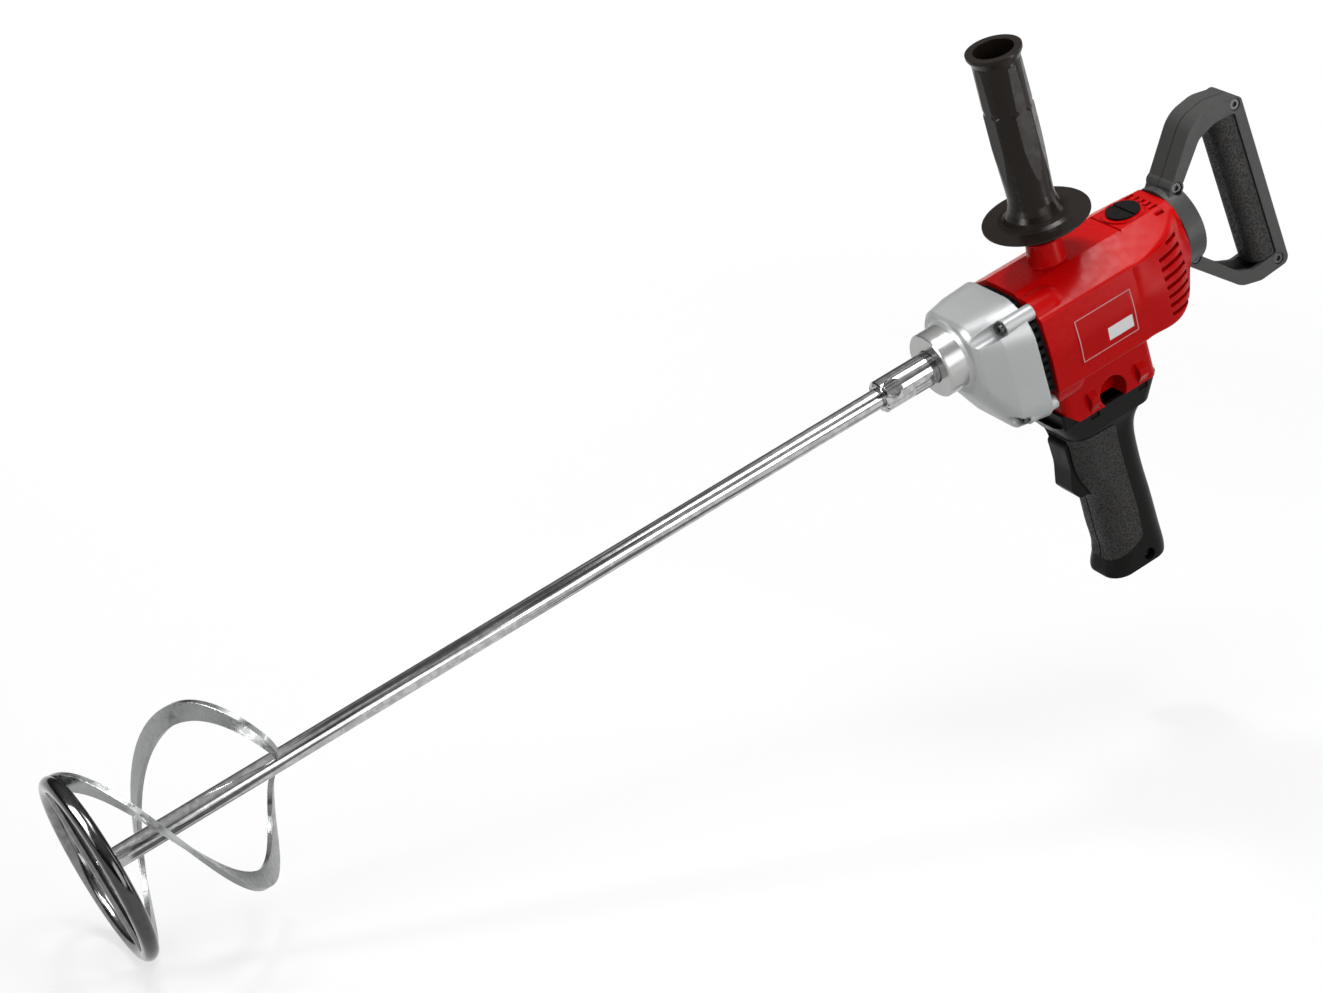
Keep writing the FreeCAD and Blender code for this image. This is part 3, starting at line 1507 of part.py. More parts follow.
def motor_leads():
    """Two leads from the switch, up through the neck, to the field coils."""
    x = switch_x + lead_set
    top_z = motor_z - stator_radius
    leads = [rod_z(switch_top_z, top_z, lead_radius, x, side * lead_spread) for side in (-1, 1)]
    return group([lead.cut(rod_x(stator_x, stator_rear_x, stator_radius, 0, motor_z)) for lead in leads])


# Rear handle

def frame_corners(shares):
    return [(motor_rear_x + handle_set + handle_reach * place, handle_height + handle_rise * height,
             handle_rise * rounding) for place, height, rounding in shares]


def bar_corners(rear_x, depth, half_width, corner):
    """Section of the grip bar in plan, round in front and nearly square at the spine."""
    front_x = rear_x - depth
    return [(front_x, -half_width, corner), (rear_x, -half_width, bar_back_corner),
            (rear_x, half_width, bar_back_corner), (front_x, half_width, corner)]


def bar_loft(depth, half_width, corner, over):
    """Bar between the upper and lower arm, along the sloping spine."""
    top = frame_corners(frame_inner_shares)[3]
    bottom = frame_corners(frame_inner_shares)[4]
    slope = (bottom[0] - top[0]) / (bottom[1] - top[1])
    wires = []
    for z in (top[1] + over, bottom[1] - over):
        rear_x = top[0] + slope * (z - top[1])
        wires.append(rounded_wire(bar_corners(rear_x, depth, half_width, corner), in_plan(z)))
    return Part.makeLoft(wires, True, True)


def frame_screw_places():
    return [(motor_rear_x + handle_set + handle_reach * place, handle_height + handle_rise * height)
            for place, height in frame_screw_shares]


def rear_handle():
    half = rear_handle_half_width
    outer = frame_corners(frame_outer_shares)
    inner = frame_corners(frame_inner_shares)
    wall = rear_handle_wall
    frame = slab_y(outer, -half, half).cut(slab_y(inner, -half - overrun, half + overrun))
    channel = slab_y(moved_in(outer, wall), -half + wall, half - wall)
    channel = channel.cut(slab_y(moved_in(inner, -wall), -half, half))
    hub_x = motor_rear_x + hub_gap
    hub_rear_x = motor_rear_x + hub_length
    rim_x = motor_rear_x + spigot_length
    hub = rod_x(hub_x, hub_rear_x, hub_radius, 0, hub_height)
    hub_space = rod_x(hub_x - overrun, hub_rear_x - hub_wall, hub_radius - hub_wall, 0, hub_height)
    collar = rod_x(hub_x, rim_x, spigot_rim_radius + hub_wall, 0, spigot_z)
    core = bar_loft(core_depth, core_half_width, core_corner, wall / 2)
    bosses = [rod_y(-half, half, frame_screw_boss, x, z) for x, z in frame_screw_places()]
    shell = frame.cut(channel).cut(hub_space)
    body = joined([shell, hub.cut(hub_space), collar.common(hub), core] + bosses)
    cuts = [
        rod_x(motor_rear_x, rim_x + overrun, spigot_radius + seat_gap, 0, spigot_z),
        rod_x(rim_x - seat_gap, hub_rear_x - hub_wall, spigot_rim_radius + seat_gap, 0, spigot_z),
    ]
    seat_y = -half + frame_hole_depth
    for x, z in frame_screw_places():
        cuts.append(rod_y(-half - overrun, seat_y, frame_hole_radius, x, z))
        cuts.append(rod_y(-half, seat_y + frame_screw_length, screw_radius + seat_gap, x, z))
    return body.cut(group(cuts))


def rear_handle_halves():
    body = rear_handle()
    far = hub_radius + overrun
    box = body.BoundBox
    left_side = block(box.XMin - overrun, box.XMax + overrun, -far, 0,
                      box.ZMin - overrun, box.ZMax + overrun)
    return body.common(left_side), body.common(mirrored_y(left_side))


def rear_handle_grip():
    sleeve = bar_loft(bar_depth, bar_half_width, bar_corner, 0)
    core = bar_loft(core_depth + seat_gap, core_half_width + seat_gap, core_corner, overrun)
    half = rear_handle_half_width
    opening = moved_in(frame_corners(frame_inner_shares), seat_gap)
    bosses = [rod_y(-half, half, frame_screw_boss + seat_gap, x, z) for x, z in frame_screw_places()]
    return sleeve.common(slab_y(opening, -half, half)).cut(group([core] + bosses))


def rear_handle_screws():
    seat = -rear_handle_half_width + frame_hole_depth
    return group([socket_screw(frame_screw_length - overrun, facing(Vec(x, seat, z), -along_y))
                  for x, z in frame_screw_places()])


# Paddle

def mixing_rod():
    rod = rod_x(ring_x, spindle_front_x + rod_socket - free_gap, rod_radius)
    dimple = radial(rod_radius - clamp_dimple, rod_radius + overrun, clamp_bolt_radius + seat_gap)
    return rod.cut(group([dimple, cross_bar_solid()]))


def paddle_ring():
    return Part.makeTorus(ring_radius, ring_wire, Vec(ring_x, 0, 0), along_x)


def cross_bar_solid():
    direction = polar(1, math.radians(paddle_turn))
    centre = Vec(ring_x, 0, 0)
    return Part.makeCylinder(cross_bar_radius, 2 * ring_radius, centre - direction * ring_radius, direction)


def cross_bar():
    return cross_bar_solid().cut(paddle_ring())


def ribbon_section(along, start_angle):
    """Flat strip's section at a distance from the ring, square to the strip's run."""
    taper = max(0, along / ribbon_length - ribbon_taper_share) / (1 - ribbon_taper_share)
    least = rod_radius + ribbon_width
    outer = least + (ribbon_outer_radius - least) * math.sqrt(1 - taper ** ribbon_taper_power)
    inner = outer - ribbon_width - ribbon_thickness * taper
    turn = math.pi / 2 * along / ribbon_quarter
    angle = start_angle + turn + math.radians(ribbon_sway) * math.sin(turn)
    out = polar(1, angle)
    steep = (outer + inner) / 2 * math.pi / 2 / ribbon_quarter
    run = Vec(1, -math.sin(angle) * steep, math.cos(angle) * steep)
    across = run.cross(out)
    across.normalize()
    centre = Vec(ring_x + along, 0, 0)
    half = across * (ribbon_thickness / 2)
    corners = [centre + out * inner - half, centre + out * outer - half, centre + out * outer + half,
               centre + out * inner + half]
    return Part.makePolygon(corners + corners[:1])


def ribbon_blade(start_degrees):
    start = math.radians(start_degrees)
    wires = [ribbon_section(ribbon_length * step / ribbon_steps, start) for step in range(ribbon_steps + 1)]
    strip = Part.makeLoft(wires, True, False)
    return strip.cut(group([paddle_ring(), cross_bar_solid(), rod_x(ring_x, 0, rod_radius)]))


# The parts

os.makedirs("parts", exist_ok=True)

front_outer, front_inner, front_balls = ball_bearing(
    front_bearing_x, front_bearing_width, spindle_seat_radius + seat_gap, front_bearing_radius, 0)
armature_bore = armature_journal_radius + seat_gap
armature_outer, armature_inner, armature_balls = ball_bearing(
    armature_bearing_x, armature_bearing_width, armature_bore, armature_bearing_radius, motor_z)
rear_outer, rear_inner, rear_balls = ball_bearing(
    rear_bearing_x, armature_bearing_width, armature_bore, armature_bearing_radius, motor_z)
left_pad = pad_body()
left_grip, right_grip = grip_halves(left_pad)
left_handle, right_handle = rear_handle_halves()

nodes = {
    "gear_housing": gear_housing(),
    "bearing_plate": bearing_plate(),
    "exhaust_ring": exhaust_ring(),
    "housing_screws": housing_screws(),
    "spindle_seal": spindle_seal(),
    "spindle_bearing_outer": front_outer,
    "spindle_bearing_circlip": circlip_x(front_bearing_rear_x, front_bearing_radius - circlip_height,
                                         front_bearing_radius + circlip_height / 2 - seat_gap),
    "spindle_rear_bush": bush_x(spindle_bush_x, spindle_bush_length, spindle_tail_radius),
    "intermediate_front_bush": bush_x(gear_cavity_x - intermediate_bush_length, intermediate_bush_length,
                                      journal_radius, intermediate_y, intermediate_z),
    "intermediate_rear_bush": bush_x(plate_x - boss_reach, intermediate_bush_length, journal_radius,
                                     intermediate_y, intermediate_z),
    "armature_front_bearing_outer": armature_outer,
    "armature_rear_bearing_outer": rear_outer,
    "bearing_balls": group(front_balls + armature_balls + rear_balls),
    "motor_housing": motor_housing(),
    "stator_core": stator_core(),
    "field_coils": field_coils(),
    "stator_screws": stator_screws(),
    "air_baffle": air_baffle(),
    "carbon_brushes": carbon_brushes(),
    "brush_holders": brush_holders(),
    "brush_springs": brush_springs(),
    "brush_caps": brush_caps(),
    "side_handle_insert": side_handle_insert(),
    "side_handle_stud": side_handle_stud(),
    "side_handle_grip": side_handle_grip(),
    "pistol_grip_left": left_grip,
    "pistol_grip_right": right_grip,
    "grip_pad_left": left_pad,
    "grip_pad_right": mirrored_y(left_pad),
    "pistol_grip_screw": grip_screw(),
    "cord_gland": cord_gland(),
    "trigger_switch": trigger_switch(),
    "motor_leads": motor_leads(),
    "rear_handle_left": left_handle,
    "rear_handle_right": right_handle,
    "rear_handle_grip": rear_handle_grip(),
    "rear_handle_screws": rear_handle_screws(),
    "trigger": trigger(),
    "switch_plunger": switch_plunger(),
    "spindle": spindle(),
    "spindle_bearing_inner": front_inner,
    "gear_spacer": tube_x(front_bearing_rear_x, output_gear_x, spindle_seat_radius + spacer_wall,
                          spindle_seat_radius + seat_gap),
    "output_gear": output_gear(),
    "gear_key": gear_key(),
    "gear_circlip": circlip_x(output_gear_rear_x, spindle_seat_radius - circlip_height / 2 + seat_gap,
                              spindle_seat_radius + circlip_height),
    "clamp_bolt": clamp_bolt(),
    "mixing_rod": mixing_rod(),
    "paddle_ring": paddle_ring(),
    "paddle_cross_bar": cross_bar(),
    "ribbon_blade_upper": ribbon_blade(paddle_turn + 180),
    "ribbon_blade_lower": ribbon_blade(paddle_turn),
    "intermediate_shaft": intermediate_shaft(),
    "intermediate_gear": intermediate_gear(),
    "armature_shaft": armature_shaft(),
    "armature_core": armature_core(),
    "armature_windings": armature_windings(),
    "commutator": commutator(),
    "cooling_fan": cooling_fan(),
    "armature_front_bearing_inner": armature_inner,
    "armature_rear_bearing_inner": rear_inner,
}
for name, shape in nodes.items():
    shape.exportStep(f"parts/{name}.step")
    print(f"{name}: {len(shape.Solids)} solids, {shape.Volume / 1000:.2f} cm3, valid {shape.isValid()}")
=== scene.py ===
import bpy
import json
import math
from mathutils import Matrix, Vector
from mathutils.bvhtree import BVHTree


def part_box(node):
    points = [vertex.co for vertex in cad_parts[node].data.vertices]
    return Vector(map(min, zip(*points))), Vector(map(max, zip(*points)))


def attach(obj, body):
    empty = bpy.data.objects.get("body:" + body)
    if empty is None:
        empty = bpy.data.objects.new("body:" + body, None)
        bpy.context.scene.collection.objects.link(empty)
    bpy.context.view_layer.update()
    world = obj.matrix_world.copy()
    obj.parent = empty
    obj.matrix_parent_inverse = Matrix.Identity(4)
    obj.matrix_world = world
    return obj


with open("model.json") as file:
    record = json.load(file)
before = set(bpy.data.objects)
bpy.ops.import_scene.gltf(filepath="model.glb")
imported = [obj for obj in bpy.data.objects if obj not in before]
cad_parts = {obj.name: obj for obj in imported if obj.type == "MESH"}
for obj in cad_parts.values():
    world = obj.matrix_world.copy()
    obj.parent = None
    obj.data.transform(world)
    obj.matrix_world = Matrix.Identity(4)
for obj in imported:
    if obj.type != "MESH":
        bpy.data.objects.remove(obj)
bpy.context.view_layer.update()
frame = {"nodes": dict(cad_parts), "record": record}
scene = bpy.context.scene
scene.view_settings.view_transform = "Standard"

# Camera at the photograph's place, in metres in the row's frame, with its lens in millimetres
CAMERA_PLACE = Vector((-0.8238, -1.5370, 1.0322))
CAMERA_RIGHT = Vector((0.8128, -0.5113, -0.2790))
CAMERA_UP = Vector((0.4874, 0.3348, 0.8064))
CAMERA_FORWARD = Vector((0.3189, 0.7915, -0.5213))
CAMERA_LENS = 89.16
SENSOR_WIDTH = 36
NEAREST_SEEN = 0.01
FARTHEST_SEEN = 100

# Floor, square to the photograph's upright, which leans towards the camera from the picture's own
FLOOR_TILT = math.radians(20)
UP = (CAMERA_UP * math.cos(FLOOR_TILT) - CAMERA_FORWARD * math.sin(FLOOR_TILT)).normalized()
FLOOR_MIDDLE = Vector((-0.17, 0, -0.02))
FLOOR_RADIUS = 1.5
FLOOR_SIDES = 96
FLOOR_FADE = (0.75, 1.4)
FLOOR_GAP = 0.001
PAPER_LEVEL = 0.80
PAPER_SHARE_FOR_OTHER_LIGHT = 0.20
PAPER_GLOW_SHARE = 0.66

# Room around the object: level of the light by height, from 0 straight down to 1 straight up.
# Metal and gloss see a white backdrop up to the horizon, and the room above it.
ROOM_LEVELS = ((0.0, 0.10), (0.45, 0.14), (0.52, 0.05), (0.66, 0.08), (0.82, 0.40), (1.0, 0.65))
BACKDROP_FADE = (0.0, 0.06)

# Places that the lamps point at
TOOL_MIDDLE = Vector((0.05, 0, 0))
REAR_HANDLE_FACET = Vector((0.23, -0.02, 0.02))

# Paddle ring, on the spindle axis
ring_low, ring_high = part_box("paddle_ring")
RING_CENTRE = Vector(((ring_low.x + ring_high.x) / 2, 0, 0))
RING_OUTER = ring_high.y

# Rear handle screws as x and z, with the radius over which the painted shade in their recesses fades
HANDLE_SCREWS = ((0.1902, -0.0260), (0.1878, 0.0271), (0.2438, 0.0588), (0.2518, -0.0600))
SCREW_RECESS_PAINTED_SHADE = (0.0039, 0.0042)

# Blank label and its pale field on the motor housing, each as x from, x to, z from and z to
LABEL = (0.0745, 0.1205, -0.0315, 0.0005)
LABEL_FIELD = (0.0971, 0.1166, -0.0261, -0.0171)
LABEL_FIELD_BLUR = 0.0001
LABEL_BORDER_INSET = 0.0012
LABEL_BORDER_HALF_WIDTH = 0.00035
LABEL_LIFT = 0.00015
LABEL_THICKNESS = 0.0003
LABEL_COLUMNS = 24
LABEL_ROWS = 16
BESIDE_THE_TOOL = -0.2

# Shader values that several finishes share
NOISE_SPAN = (0.3, 0.7)
GRAIN_DEPTH = 0.0002
SEAM_DEPTH = 0.0004
STIPPLE_DEPTH = 0.0006
PAPER_DEPTH = 0.0001
BEVEL_SAMPLES = 6
SHARP_TO_FLAT = (0.80, 0.99)


# Small helpers for shader nodes

def put(tree, socket, value):
    """Links an output to the socket, or sets a plain value on it."""
    if isinstance(value, bpy.types.NodeSocket):
        tree.links.new(value, socket)
    else:
        socket.default_value = value


def calculated(tree, operation, *values):
    """Result of a Math node."""
    node = tree.nodes.new("ShaderNodeMath")
    node.operation = operation
    for socket, value in zip(node.inputs, values):
        put(tree, socket, value)
    return node.outputs[0]


class Shader:
    """One procedural material, built on a Principled shader with the row's coordinates at hand."""

    def __init__(self, name):
        self.material = bpy.data.materials.new(name)
        self.material.use_nodes = True
        self.tree = self.material.node_tree
        self.surface = self.tree.nodes["Principled BSDF"]
        self.place = self.add("ShaderNodeTexCoord").outputs["Object"]
        self.axes = self.add("ShaderNodeSeparateXYZ", Vector=self.place).outputs

    def add(self, kind, **values):
        """New node with the named inputs linked or set."""
        node = self.tree.nodes.new(kind)
        for key, value in values.items():
            self.put(node.inputs[key.replace("_", " ")], value)
        return node

    def put(self, socket, value):
        put(self.tree, socket, value)

    def math(self, operation, *values):
        return calculated(self.tree, operation, *values)

    def vector_math(self, operation, *vectors):
        """Outputs of a Vector Math node."""
        node = self.tree.nodes.new("ShaderNodeVectorMath")
        node.operation = operation
        for socket, vector in zip(node.inputs, vectors):
            self.put(socket, vector)
        return node.outputs

    def noise(self, scale, detail=3.0, stretch=(1, 1, 1)):
        place = self.vector_math("MULTIPLY", self.place, stretch)["Vector"]
        return self.add("ShaderNodeTexNoise", Vector=place, Scale=scale, Detail=detail).outputs["Fac"]

    def cells(self, scale):
        return self.add("ShaderNodeTexVoronoi", Vector=self.place, Scale=scale).outputs["Distance"]

    def between(self, value, low, high, to_low, to_high):
        """Eases from to_low to to_high as value goes from low to high."""
        node = self.tree.nodes.new("ShaderNodeMapRange")
        node.interpolation_type = "SMOOTHSTEP"
        for socket, number in zip(node.inputs, (value, low, high, to_low, to_high)):
            self.put(socket, number)
        return node.outputs[0]

    def line(self, value, at, half_width):
        """1 on a thin line where value is at, else 0."""
        away = self.math("ABSOLUTE", self.math("SUBTRACT", value, at))
        return self.between(away, half_width * 0.5, half_width, 1.0, 0.0)

    def inside(self, value, low, high, blur):
        """1 where value lies from low to high, else 0."""
        past_low = self.between(value, low - blur, low + blur, 0.0, 1.0)
        short_of_high = self.between(value, high - blur, high + blur, 1.0, 0.0)
        return self.math("MULTIPLY", past_low, short_of_high)

    def distance(self, across, along):
        """Length of the slanted side over two sides that are square to each other."""
        squares = self.math("POWER", across, 2.0), self.math("POWER", along, 2.0)
        return self.math("SQRT", self.math("ADD", *squares))

    def mix(self, factor, first, second, kind="RGBA"):
        """Mix of two colours, or of two numbers where kind is FLOAT."""
        node = self.tree.nodes.new("ShaderNodeMix")
        node.data_type = kind
        self.put(node.inputs["Factor"], factor)
        self.put(node.inputs["A"], first)
        self.put(node.inputs["B"], second)
        return node.outputs["Result"]

    def edges(self, radius):
        """Rounded normal, and a mask that is 1 on sharp edges."""
        bevel = self.add("ShaderNodeBevel", Radius=radius)
        bevel.samples = BEVEL_SAMPLES
        flat = self.add("ShaderNodeNewGeometry").outputs["Normal"]
        likeness = self.vector_math("DOT_PRODUCT", bevel.outputs[0], flat)["Value"]
        return bevel.outputs[0], self.between(likeness, *SHARP_TO_FLAT, 1.0, 0.0)

    def bump(self, height, strength, distance, normal=None):
        node = self.add("ShaderNodeBump", Height=height, Strength=strength, Distance=distance)
        if normal is not None:
            self.put(node.inputs["Normal"], normal)
        return node.outputs[0]

    def set(self, **values):
        """Links or sets inputs of the Principled shader."""
        for key, value in values.items():
            self.put(self.surface.inputs[key.replace("_", " ")], value)

    def tint(self):
        """What the Base Color is linked to so far."""
        return self.surface.inputs["Base Color"].links[0].from_socket


def background_seen(tree, backdrop=1.0):
    """1 for the background that the camera sees, straight or in metal and gloss, else 0.

    backdrop is the share of it that metal and gloss show.
    """
    path = tree.nodes.new("ShaderNodeLightPath").outputs
    mirrored = calculated(tree, "MAXIMUM", path["Is Glossy Ray"], path["Is Transmission Ray"])
    mirrored = calculated(tree, "MULTIPLY", mirrored, backdrop)
    return calculated(tree, "MAXIMUM", path["Is Camera Ray"], mirrored)


def colour(red, green, blue):
    return (red, green, blue, 1.0)


def grey(level):
    return colour(level, level, level)


def shade(tone, factor):
    return tuple(min(1.0, c * factor) for c in tone[:3]) + (1.0,)


# Finishes

def moulded(name, tone, rough, grain_scale, grain, edge_radius=0.0006, wear=1.6, seam=None, gloss=0.20):
    """Moulded plastic with a fine grain and rubbed edges.

    seam is the half width of the parting line on y = 0, where the moulding has one.
    """
    s = Shader(name)
    rounded, mask = s.edges(edge_radius)
    patches = s.noise(scale=22.0, detail=4.0)
    tint = s.mix(patches, shade(tone, 0.86), shade(tone, 1.14))
    rubbing = s.between(s.noise(scale=70.0), 0.40, 0.65, 0.15, 0.8)
    tint = s.mix(s.math("MULTIPLY", mask, rubbing), tint, shade(tone, wear))
    normal = s.bump(s.noise(grain_scale, detail=2.0), grain, GRAIN_DEPTH, rounded)
    if seam:
        parting = s.line(s.axes["Y"], 0.0, seam)
        tint = s.mix(parting, tint, shade(tone, 0.25))
        normal = s.bump(parting, -0.8, SEAM_DEPTH, normal)
    fine = s.noise(scale=180.0)
    s.set(Base_Color=tint, Normal=normal, Specular_IOR_Level=gloss)
    s.set(Roughness=s.between(fine, *NOISE_SPAN, rough - 0.05, rough + 0.07))
    return s


def metal(name, tone, rough, stretch=(1, 1, 1), scale=120.0, grain=0.05, edge_radius=0.0004):
    """Bare or plated metal with streaks from drawing in its relief, tarnish patches, and a painted highlight
    on its sharp edges.
    """
    s = Shader(name)
    rounded, mask = s.edges(edge_radius)
    streaks = s.noise(scale, 4.0, stretch)
    patches = s.between(s.noise(scale=16.0, detail=5.0), 0.35, 0.70, 0.0, 1.0)
    tint = s.mix(patches, shade(tone, 1.06), shade(tone, 0.80))
    # painted highlight: sharp edges are lightened to stand in for the light they catch
    painted_edge_highlight = s.math("MULTIPLY", mask, 0.6)
    tint = s.mix(painted_edge_highlight, tint, shade(tone, 1.3))
    s.set(Base_Color=tint, Metallic=1.0, Normal=s.bump(streaks, grain, GRAIN_DEPTH, rounded))
    s.set(Roughness=s.between(streaks, *NOISE_SPAN, rough * 0.8, rough * 1.3))
    return s


def bright_steel():
    """Zinc-plated steel with painted dark reflection in streaks along the rod and spindle and over the ring.
    """
    tone = colour(0.50, 0.50, 0.505)
    painted_streaks_start = (-0.582, -0.576)
    ring_painted_reflection_radius = (0.0545, 0.0575)
    ring_painted_reflection_end = (-0.5885, -0.5870)
    s = metal("bright_steel", tone, rough=0.12, stretch=(0.05, 1, 1), scale=300.0, grain=0.04)
    # painted reflection: dark streaks along the rod and spindle stand in for the dark bands that the bright
    # steel mirrors
    painted_reflection_streaks = s.between(s.noise(scale=420.0, stretch=(0.012, 1, 1)), 0.50, 0.60, 0.0, 0.85)
    painted_reflection_streaks = s.math("MULTIPLY", painted_reflection_streaks, s.between(s.axes["X"], *painted_streaks_start, 0.0, 1.0))
    around = s.distance(s.axes["Y"], s.axes["Z"])
    # painted reflection: the ring and its cross bar are darkened, most on the ring's outer face, for the dark
    # surroundings they mirror
    outer = s.between(around, *ring_painted_reflection_radius, 0.0, 0.92)
    ring = s.between(s.axes["X"], *ring_painted_reflection_end, 0.62, 0.0)
    # all painted dark reflection, laid over the spangled tint below
    dark = s.math("MAXIMUM", painted_reflection_streaks, s.math("MAXIMUM", outer, ring))
    spangle = s.between(s.noise(scale=230.0, detail=5.0), 0.40, 0.62, 0.0, 0.45)
    tint = s.mix(spangle, s.tint(), shade(tone, 0.45))
    s.set(Base_Color=s.mix(dark, tint, shade(tone, 0.08)))
    return s.material


def red_paint():
    tone = colour(0.52, 0.0015, 0.0018)
    s = moulded("red_housing", tone, rough=0.28, grain_scale=900.0, grain=0.03,
                edge_radius=0.0012, wear=1.25, gloss=0.08)
    return s.material


def housing_metal():
    """Satin casting whose collar is turned bright."""
    tone = colour(0.45, 0.46, 0.463)
    turned_tone = colour(0.42, 0.42, 0.415)
    collar_end = (0.0060, 0.0064)
    collar_radius = (0.0220, 0.0224)
    turning_marks = 9000.0
    edge_radius = 0.0012
    s = Shader("cast_aluminium")
    rounded, mask = s.edges(edge_radius)
    sand = s.noise(scale=1500.0, detail=2.0)
    patches = s.noise(scale=25.0, detail=4.0)
    tint = s.mix(patches, shade(tone, 0.92), shade(tone, 1.06))
    # painted highlight: sharp edges of the casting are lightened to stand in for the light they catch
    painted_edge_highlight = s.math("MULTIPLY", mask, 0.35)
    tint = s.mix(painted_edge_highlight, tint, shade(tone, 1.25))
    around = s.distance(s.axes["Y"], s.axes["Z"])
    turned = s.math("MULTIPLY", s.between(s.axes["X"], *collar_end, 1.0, 0.0),
                    s.between(around, *collar_radius, 1.0, 0.0))
    rings = s.math("SINE", s.math("MULTIPLY", s.axes["X"], turning_marks))
    height = s.mix(turned, sand, s.math("MULTIPLY", rings, 0.10), "FLOAT")
    satin = s.between(sand, *NOISE_SPAN, 0.36, 0.46)
    s.set(Base_Color=s.mix(turned, tint, turned_tone), Normal=s.bump(height, 0.12, GRAIN_DEPTH, rounded))
    s.set(Metallic=s.mix(turned, 0.30, 0.75, "FLOAT"), Roughness=s.mix(turned, satin, 0.27, "FLOAT"))
    return s.material


def stippled(name, tone, scale):
    """Soft grip with a raised stipple, paler and smoother on the tops of the stipple."""
    edge_radius = 0.0008
    s = Shader(name)
    rounded, _ = s.edges(edge_radius)
    dots = s.math("MULTIPLY", s.cells(scale), 0.7)
    specks = s.math("MULTIPLY", s.noise(scale * 1.3, detail=2.0), 0.6)
    stipple = s.math("ADD", dots, specks)
    tops = s.between(stipple, 0.42, 0.80, 0.0, 1.0)
    tint = s.mix(tops, shade(tone, 0.7), shade(tone, 2.6))
    tint = s.mix(s.noise(scale=30.0, detail=4.0), tint, shade(tone, 1.1))
    s.set(Base_Color=tint, Normal=s.bump(stipple, 0.75, STIPPLE_DEPTH, rounded), Specular_IOR_Level=0.20)
    s.set(Roughness=s.between(tops, 0.0, 1.0, 0.78, 0.52))
    return s.material


def rear_handle_plastic():
    """Grey-black plastic of the rear handle, with painted shade in the round recesses of its screws."""
    tone = colour(0.060, 0.061, 0.059)
    s = moulded("rear_handle_plastic", tone, rough=0.42, grain_scale=1100.0, grain=0.10, seam=0.0006)
    tint = s.tint()
    for x, z in HANDLE_SCREWS:
        away = s.distance(s.math("SUBTRACT", s.axes["X"], x), s.math("SUBTRACT", s.axes["Z"], z))
        # painted shade: the plastic in each screw recess is darkened where the recess lies in shade
        tint = s.mix(s.between(away, *SCREW_RECESS_PAINTED_SHADE, 0.85, 0.0), tint, shade(tone, 0.12))
    s.set(Base_Color=tint)
    return s.material


METALS = {
    "ribbon_steel": dict(tone=colour(0.29, 0.30, 0.30), rough=0.30, scale=260.0, grain=0.10),
    "black_screw": dict(tone=colour(0.065, 0.065, 0.068), rough=0.30),
    "bearing_steel": dict(tone=colour(0.62, 0.62, 0.63), rough=0.22),
    "gear_steel": dict(tone=colour(0.42, 0.42, 0.43), rough=0.34),
    "bronze": dict(tone=colour(0.55, 0.34, 0.15), rough=0.38),
    "copper": dict(tone=colour(0.66, 0.29, 0.14), rough=0.32),
    "laminations": dict(tone=colour(0.20, 0.20, 0.21), rough=0.50, stretch=(60, 1, 1), scale=30.0, grain=0.3),
}
PLASTICS = {
    "black_plastic": dict(tone=colour(0.0090, 0.0085, 0.0080), rough=0.36, grain_scale=1100.0, grain=0.12,
                          seam=0.00035, gloss=0.07),
    "handle_plastic": dict(tone=colour(0.0150, 0.0105, 0.0080), rough=0.24, grain_scale=700.0, grain=0.012,
                           wear=1.2, gloss=0.13),
    "carbon": dict(tone=grey(0.03), rough=0.60, grain_scale=600.0, grain=0.2),
    "inner_plastic": dict(tone=colour(0.010, 0.010, 0.011), rough=0.60, grain_scale=500.0, grain=0.1,
                          gloss=0.08),
    "seal_rubber": dict(tone=grey(0.022), rough=0.60, grain_scale=400.0, grain=0.1),
}


def by_slot():
    """The finish of each material slot in the record."""
    finishes = {name: metal(name, **values).material for name, values in METALS.items()}
    finishes.update({name: moulded(name, **values).material for name, values in PLASTICS.items()})
    finishes["red_housing"] = red_paint()
    finishes["cast_aluminium"] = housing_metal()
    finishes["bright_steel"] = bright_steel()
    finishes["soft_grip"] = stippled("soft_grip", colour(0.0185, 0.0175, 0.0168), scale=620.0)
    return finishes


materials = by_slot()
slot_of = {part["node"]: part["material_slot"] for part in frame["record"]["subparts"]}
handle_finish = rear_handle_plastic()
own = {"rear_handle_left": handle_finish, "rear_handle_right": handle_finish}
for name, node in frame["nodes"].items():
    for holder in node.material_slots:
        holder.material = own.get(name, materials[slot_of[name]])


# Blank label on the left side of the motor housing

def surface_grid(node, area, lift, columns, rows):
    """Points of the node's left surface over a rectangle, lifted off it."""
    x0, x1, z0, z1 = area
    mesh = frame["nodes"][node].data
    tree = BVHTree.FromPolygons([v.co for v in mesh.vertices], [p.vertices for p in mesh.polygons])
    points = []
    for row in range(rows + 1):
        for column in range(columns + 1):
            x = x0 + (x1 - x0) * column / columns
            z = z0 + (z1 - z0) * row / rows
            place, normal = tree.ray_cast(Vector((x, BESIDE_THE_TOOL, z)), Vector((0, 1, 0)))[:2]
            points.append(place + normal * lift if normal.y < 0 else place - normal * lift)
    return points


def sheet_on(name, node, area, lift, thickness, material, columns, rows):
    """Thin plate that follows the node's surface."""
    points = surface_grid(node, area, lift, columns, rows)
    wide = columns + 1
    faces = [(r * wide + c, r * wide + c + 1, (r + 1) * wide + c + 1, (r + 1) * wide + c)
             for r in range(rows) for c in range(columns)]
    mesh = bpy.data.meshes.new(name)
    mesh.from_pydata(points, [], faces)
    mesh.materials.append(material)
    plate = bpy.data.objects.new(name, mesh)
    scene.collection.objects.link(plate)
    solid = plate.modifiers.new("thickness", "SOLIDIFY")
    solid.thickness = thickness
    solid.offset = 0
    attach(plate, "tool")
    return plate


